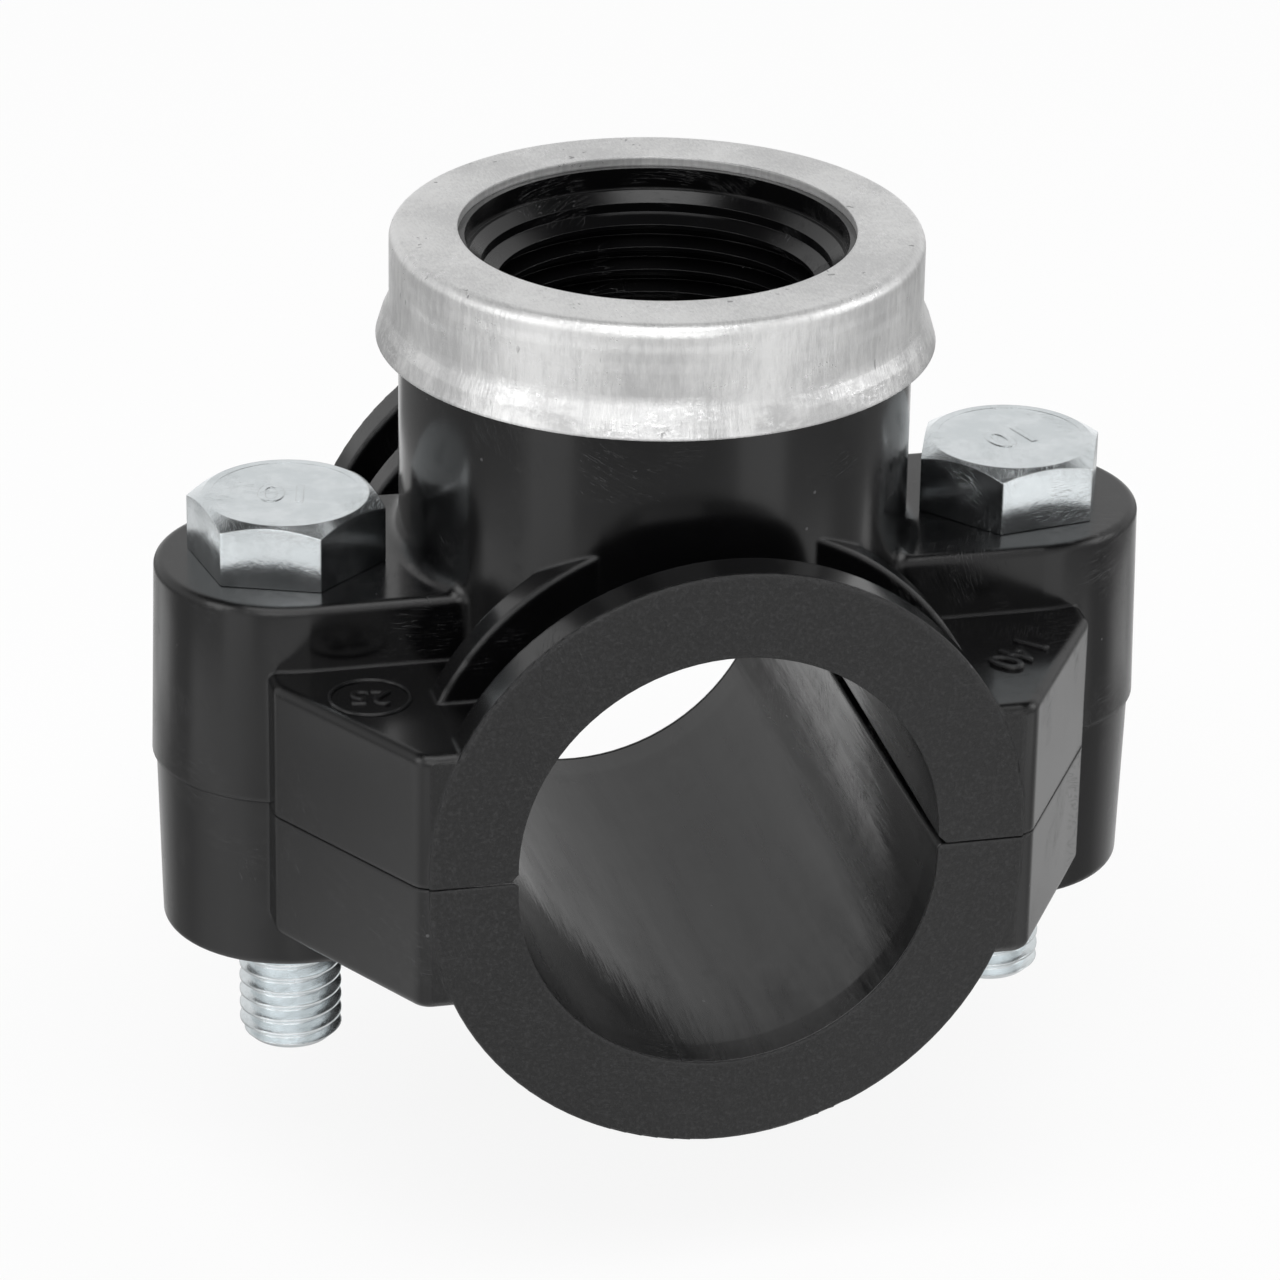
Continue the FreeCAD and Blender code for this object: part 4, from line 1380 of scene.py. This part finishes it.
@dataclass(frozen=True)
class PaleFloor(Finish):
    """Nearly white floor, which glossy rays see as a banded glow: painted reflections in the
    saddle.

    Attributes:
        facing: Direction from which the bands are counted, in degrees round the saddle.
        paleness: Share of plain white in the floor as the camera sees it.
        tones: The floor's two tones.
        tone_scale: Fineness of its tones.
        dullness: Roughness of the floor.
        middle_table: Distances over which the near table gives way to the middle one.
        far_table: Distances over which the middle table gives way to the far one.
        near_bands: Angle from the front, and how bright the near table's painted reflection glow
            is there.
        middle_bands: The same for the middle table, which the bolt heads mirror.
        far_bands: The same for the far table.
    """

    facing: float = -12.63
    paleness: float = 0.88
    tones: tuple[Colour, Colour] = ((0.93, 0.93, 0.93, 1.0), (0.95, 0.95, 0.95, 1.0))
    tone_scale: float = 4.0
    dullness: float = 0.9
    middle_table: Span = (0.115, 0.121)
    far_table: Span = (0.147, 0.158)
    near_bands: tuple[Span, ...] = (
        (0, 0.6), (19, 0.72), (25, 0.9), (33, 0.7), (42, 0.8), (49, 0.95), (60, 0.95),
        (72, 0.74), (83, 0.42), (95, 0.36), (106, 0.55), (118, 0.68), (136, 0.64),
        (147, 1.0), (180, 1.0))
    middle_bands: tuple[Span, ...] = (
        (0, 1.0), (26, 1.0), (32, 0.75), (49, 0.95), (62, 1.0), (77, 1.0), (84, 0.42),
        (95, 0.36), (102, 0.7), (106, 1.0), (118, 1.0), (124, 0.62), (140, 0.62), (152, 1.0),
        (180, 1.0))
    far_bands: tuple[Span, ...] = (
        (0, 0.36), (26, 0.42), (34, 0.6), (36, 1.0), (54, 1.0), (58, 0.5), (90, 0.34),
        (150, 0.3), (158, 1.0))

    def build(self, name: str) -> bpy.types.Material:
        """Build the material.

        Args:
            name: Name of the material.

        Returns:
            The material.
        """
        material, wires, shader, place = self.start(name)
        tone = wires.noise(place, self.tone_scale, 2.0)
        wires.join(wires.blend(tone, *self.tones), shader.inputs["Base Color"])
        shader.inputs["Roughness"].default_value = self.dullness
        shader.inputs["Specular IOR Level"].default_value = 0.0
        path = wires.add("ShaderNodeLightPath").outputs
        # Glossy rays see an emission in bands instead of the floor's own colour: painted
        # reflections.
        glossy = path["Is Glossy Ray"]
        glow = wires.add("ShaderNodeEmission", inputs={
            "Strength": wires.between(glossy, 1.0, self.painted_reflection_glow(wires, place))})
        share = wires.most(glossy, wires.times(path["Is Camera Ray"], self.paleness))
        both = wires.add("ShaderNodeMixShader", inputs={
            0: share, 1: shader.outputs[0], 2: glow.outputs[0]})
        wires.join(both.outputs[0], material.node_tree.nodes["Material Output"].inputs["Surface"])
        return material

    def painted_reflection_glow(self, wires: Wires, place: bpy.types.NodeSocket) -> bpy.types.NodeSocket:
        """Brightness of the floor's glow that only glossy rays see, a painted reflection, by the
        direction from the saddle.

        Args:
            wires: The floor material's wires.
            place: A point's place on the floor.

        Returns:
            Brightness from 0 to 1.
        """
        angle = math.radians(self.facing)
        flat = wires.stretched(place, (1.0, 1.0, 0.0))
        way = wires.add("ShaderNodeVectorMath", operation="NORMALIZE", inputs={0: flat})
        front = wires.add("ShaderNodeVectorMath", operation="DOT_PRODUCT", inputs={
            0: way.outputs[0], 1: (math.sin(angle), -math.cos(angle), 0.0)})
        where = wires.plus(wires.times(front.outputs["Value"], 0.5), 0.5)
        reach = wires.length(flat)
        glow = wires.blend(wires.band(reach, *self.middle_table),
                           self.banded(wires, where, self.near_bands),
                           self.banded(wires, where, self.middle_bands))
        return wires.blend(wires.band(reach, *self.far_table), glow,
                           self.banded(wires, where, self.far_bands))

    @staticmethod
    def banded(wires: Wires, where: bpy.types.NodeSocket,
               bands: Sequence[Span]) -> bpy.types.NodeSocket:
        """Ramp of brightness over the angle from the front.

        Args:
            wires: The floor material's wires.
            where: 1 at the front and 0 at the back, by the angle's cosine.
            bands: Angle in degrees and brightness of each stop.

        Returns:
            The brightness.
        """
        ramp = wires.add("ShaderNodeValToRGB", inputs={0: where})
        stops = ramp.color_ramp.elements
        while len(stops) < len(bands):
            stops.new(0.5)
        for stop, (degrees, level) in zip(stops, sorted(bands, reverse=True)):
            stop.position = math.cos(math.radians(degrees)) / 2 + 0.5
            stop.color = (level, level, level, 1.0)
        return ramp.outputs["Color"]


@dataclass(frozen=True)
class SoftBox:
    """Soft box that looks at the saddle.

    Attributes:
        name: Name of the lamp.
        where: Its place in metres.
        size: Its width and height in metres.
        power: Its power in watts.
        aim: The place that it looks at.
    """

    name: str
    where: Place
    size: Span
    power: float
    aim: Place = (0.0, 0.0, 0.01)

    def build(self) -> None:
        """Hang the lamp."""
        data = bpy.data.lights.new(self.name, "AREA")
        data.shape = "RECTANGLE"
        data.size, data.size_y = self.size
        data.energy = self.power
        lamp = bpy.data.objects.new(self.name, data)
        bpy.context.scene.collection.objects.link(lamp)
        lamp.location = self.where
        back = Vector(self.where) - Vector(self.aim)
        lamp.rotation_euler = back.to_track_quat("Z", "Y").to_euler()


@dataclass(frozen=True)
class Studio:
    """Floor, light and camera of a plain pale studio.

    Attributes:
        azimuth: Direction of the camera round the saddle, in degrees.
        elevation: Height of the camera above the level, in degrees.
        roll: Tilt of the picture, in degrees.
        distance: From the origin to the camera along its own axis, in metres.
        focal: Focal length in pixels of the photograph.
        picture: Width of the photograph in pixels.
        sensor: Width of the camera's sensor in millimetres.
        slide: Shift of the camera across and up its picture, in metres.
        clip: Nearest and farthest distance that the camera sees, in metres.
        floor_radius: Reach of the floor, in metres.
        floor_steps: Faces in one turn of the floor.
        dip: Radii between which the floor sinks under the saddle, in metres.
        dip_margin: How much deeper the dip is than the slide's travel, in metres.
        dip_steps: Rings of the dip's slope.
        sky_edge: Rise of a direction at which the mirrored sky is dark, and bright.
        sky_glow: How bright the dark and the bright sky mirror.
        sky_light: Strength of the sky as a light.
        boxes: The lamps.
    """

    azimuth: float = -13.63
    elevation: float = 25.02
    roll: float = 1.04
    distance: float = 0.57189
    focal: float = 5879.5
    picture: float = 1280.0
    sensor: float = 36.0
    slide: Span = (-0.000829, 0.006106)
    clip: Span = (0.01, 20.0)
    floor_radius: float = 4.2
    floor_steps: int = 96
    dip: Span = (0.045, 0.113)
    dip_margin: float = 0.0004
    dip_steps: int = 14
    sky_edge: Span = (0.82, 0.60)
    sky_glow: Span = (0.03, 0.72)
    sky_light: float = 0.55
    boxes: tuple[SoftBox, ...] = (
        SoftBox("top_box", (-0.08, -0.30, 0.75), (0.7, 0.5), 2.6),
        SoftBox("front_box", (-0.22, -0.90, 0.34), (0.7, 0.4), 1.4),
        SoftBox("left_box", (-0.75, -0.25, 0.35), (0.35, 0.6), 1.1),
        SoftBox("right_box", (0.75, -0.15, 0.40), (0.35, 0.6), 1.1))

    def camera(self) -> None:
        """Set the camera where the photograph was taken from."""
        turn, lift, roll = (math.radians(v) for v in (self.azimuth, self.elevation, self.roll))
        back = Vector((math.sin(turn) * math.cos(lift), -math.cos(turn) * math.cos(lift),
                       math.sin(lift)))
        level = Vector((math.cos(turn), math.sin(turn), 0.0))
        rise = back.cross(level)
        across = level * math.cos(roll) + rise * math.sin(roll)
        upward = rise * math.cos(roll) - level * math.sin(roll)
        data = bpy.data.cameras.new("Camera")
        data.sensor_width = self.sensor
        data.lens = self.focal / self.picture * self.sensor
        data.clip_start, data.clip_end = self.clip
        camera = bpy.data.objects.new("Camera", data)
        bpy.context.scene.collection.objects.link(camera)
        place = back * self.distance + across * self.slide[0] + upward * self.slide[1]
        matrix = camera.matrix_world.copy()
        for row in range(3):
            matrix[row][0] = across[row]
            matrix[row][1] = upward[row]
            matrix[row][2] = back[row]
            matrix[row][3] = place[row]
        camera.matrix_world = matrix
        bpy.context.scene.camera = camera

    def floor(self) -> None:
        """Pale floor level with the bolts' tips, with a dip that the lowered half clears."""
        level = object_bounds()[0][2]
        slide = next(joint for joint in frame["record"]["behaviour"]["joints"]
                     if joint["name"] == "lower_half_slide")
        depth = self.dip_margin - min(slide["range_m"])
        inner, outer = self.dip
        profile = [(0.0, 0.0, level - depth)]
        for step in range(self.dip_steps + 1):
            part = step / self.dip_steps
            share = 1.0 - part * part * (3.0 - 2.0 * part)
            profile.append((inner + (outer - inner) * part, 0.0, level - depth * share))
        profile.append((self.floor_radius, 0.0, level))
        floor = open_line("floor", profile)
        apply_modifier(floor, "SCREW", axis="Z", angle=math.tau, steps=self.floor_steps,
                       render_steps=self.floor_steps, use_merge_vertices=True)
        clean_mesh(floor)
        soften(floor)
        dress(floor, PaleFloor().build("Pale floor"))
        floor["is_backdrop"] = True

    def world(self) -> None:
        """White surroundings to the eye, softer as a light."""
        world = bpy.data.worlds.new("Studio")
        bpy.context.scene.world = world
        world.use_nodes = True
        wires = Wires(world.node_tree)
        background = world.node_tree.nodes["Background"]
        background.inputs["Color"].default_value = (1.0, 1.0, 1.0, 1.0)
        path = wires.add("ShaderNodeLightPath").outputs
        seen = wires.most(path["Is Camera Ray"], path["Is Transmission Ray"])
        way = wires.add("ShaderNodeTexCoord").outputs["Generated"]
        glow = wires.spread(wires.band(wires.parts(way)["Z"], *self.sky_edge), *self.sky_glow)
        plain = wires.between(path["Is Glossy Ray"], self.sky_light, glow)
        wires.join(wires.between(seen, plain, 1.0), background.inputs["Strength"])

    def build(self) -> None:
        """Set up the whole studio."""
        self.camera()
        self.floor()
        self.world()
        for box in self.boxes:
            box.build()
        bpy.context.scene.view_settings.view_transform = "Standard"


@dataclass(frozen=True)
class Saddle:
    """The whole tapping saddle, dressed.

    Attributes:
        shop: The shared shader groups.
        left_turn: Turn of the left bolt's head in degrees.
        right_turn: Turn of the right bolt's head in degrees.
    """

    shop: Workshop
    left_turn: float = -20.1
    right_turn: float = 9.7

    def build(self) -> None:
        """Dress the CAD nodes and add the pieces that the CAD leaves plain."""
        plastic = BlackPlastic().build(self.shop, "Black plastic")
        plated = PlatedSteel().build(self.shop, "Plated steel")
        metal = PaleMetal().build(self.shop, "Pale metal")
        rubber = SoftRubber().build(self.shop, "Soft rubber")
        for name, material in (("upper_saddle", plastic), ("lower_saddle", plastic),
                               ("reinforcing_ring", metal), ("outlet_seal", rubber),
                               ("nut_left", plated), ("nut_right", plated)):
            dress(frame["nodes"][name], material)
            LOG.info("dressed %s", name)
        pieces = [HexBolt("bolt_left", "left_screw", self.left_turn).build(plated),
                  HexBolt("bolt_right", "right_screw", self.right_turn).build(plated)]
        pieces += GussetMarks().build(plastic)
        for piece in pieces:
            LOG.info("made %s with %d faces", piece.name, len(piece.data.polygons))


def main() -> None:
    """Build the saddle and its studio."""
    logging.basicConfig(level=logging.INFO, format="%(name)s: %(message)s")
    Saddle(Workshop()).build()
    Studio().build()


if __name__ == "__main__":
    main()
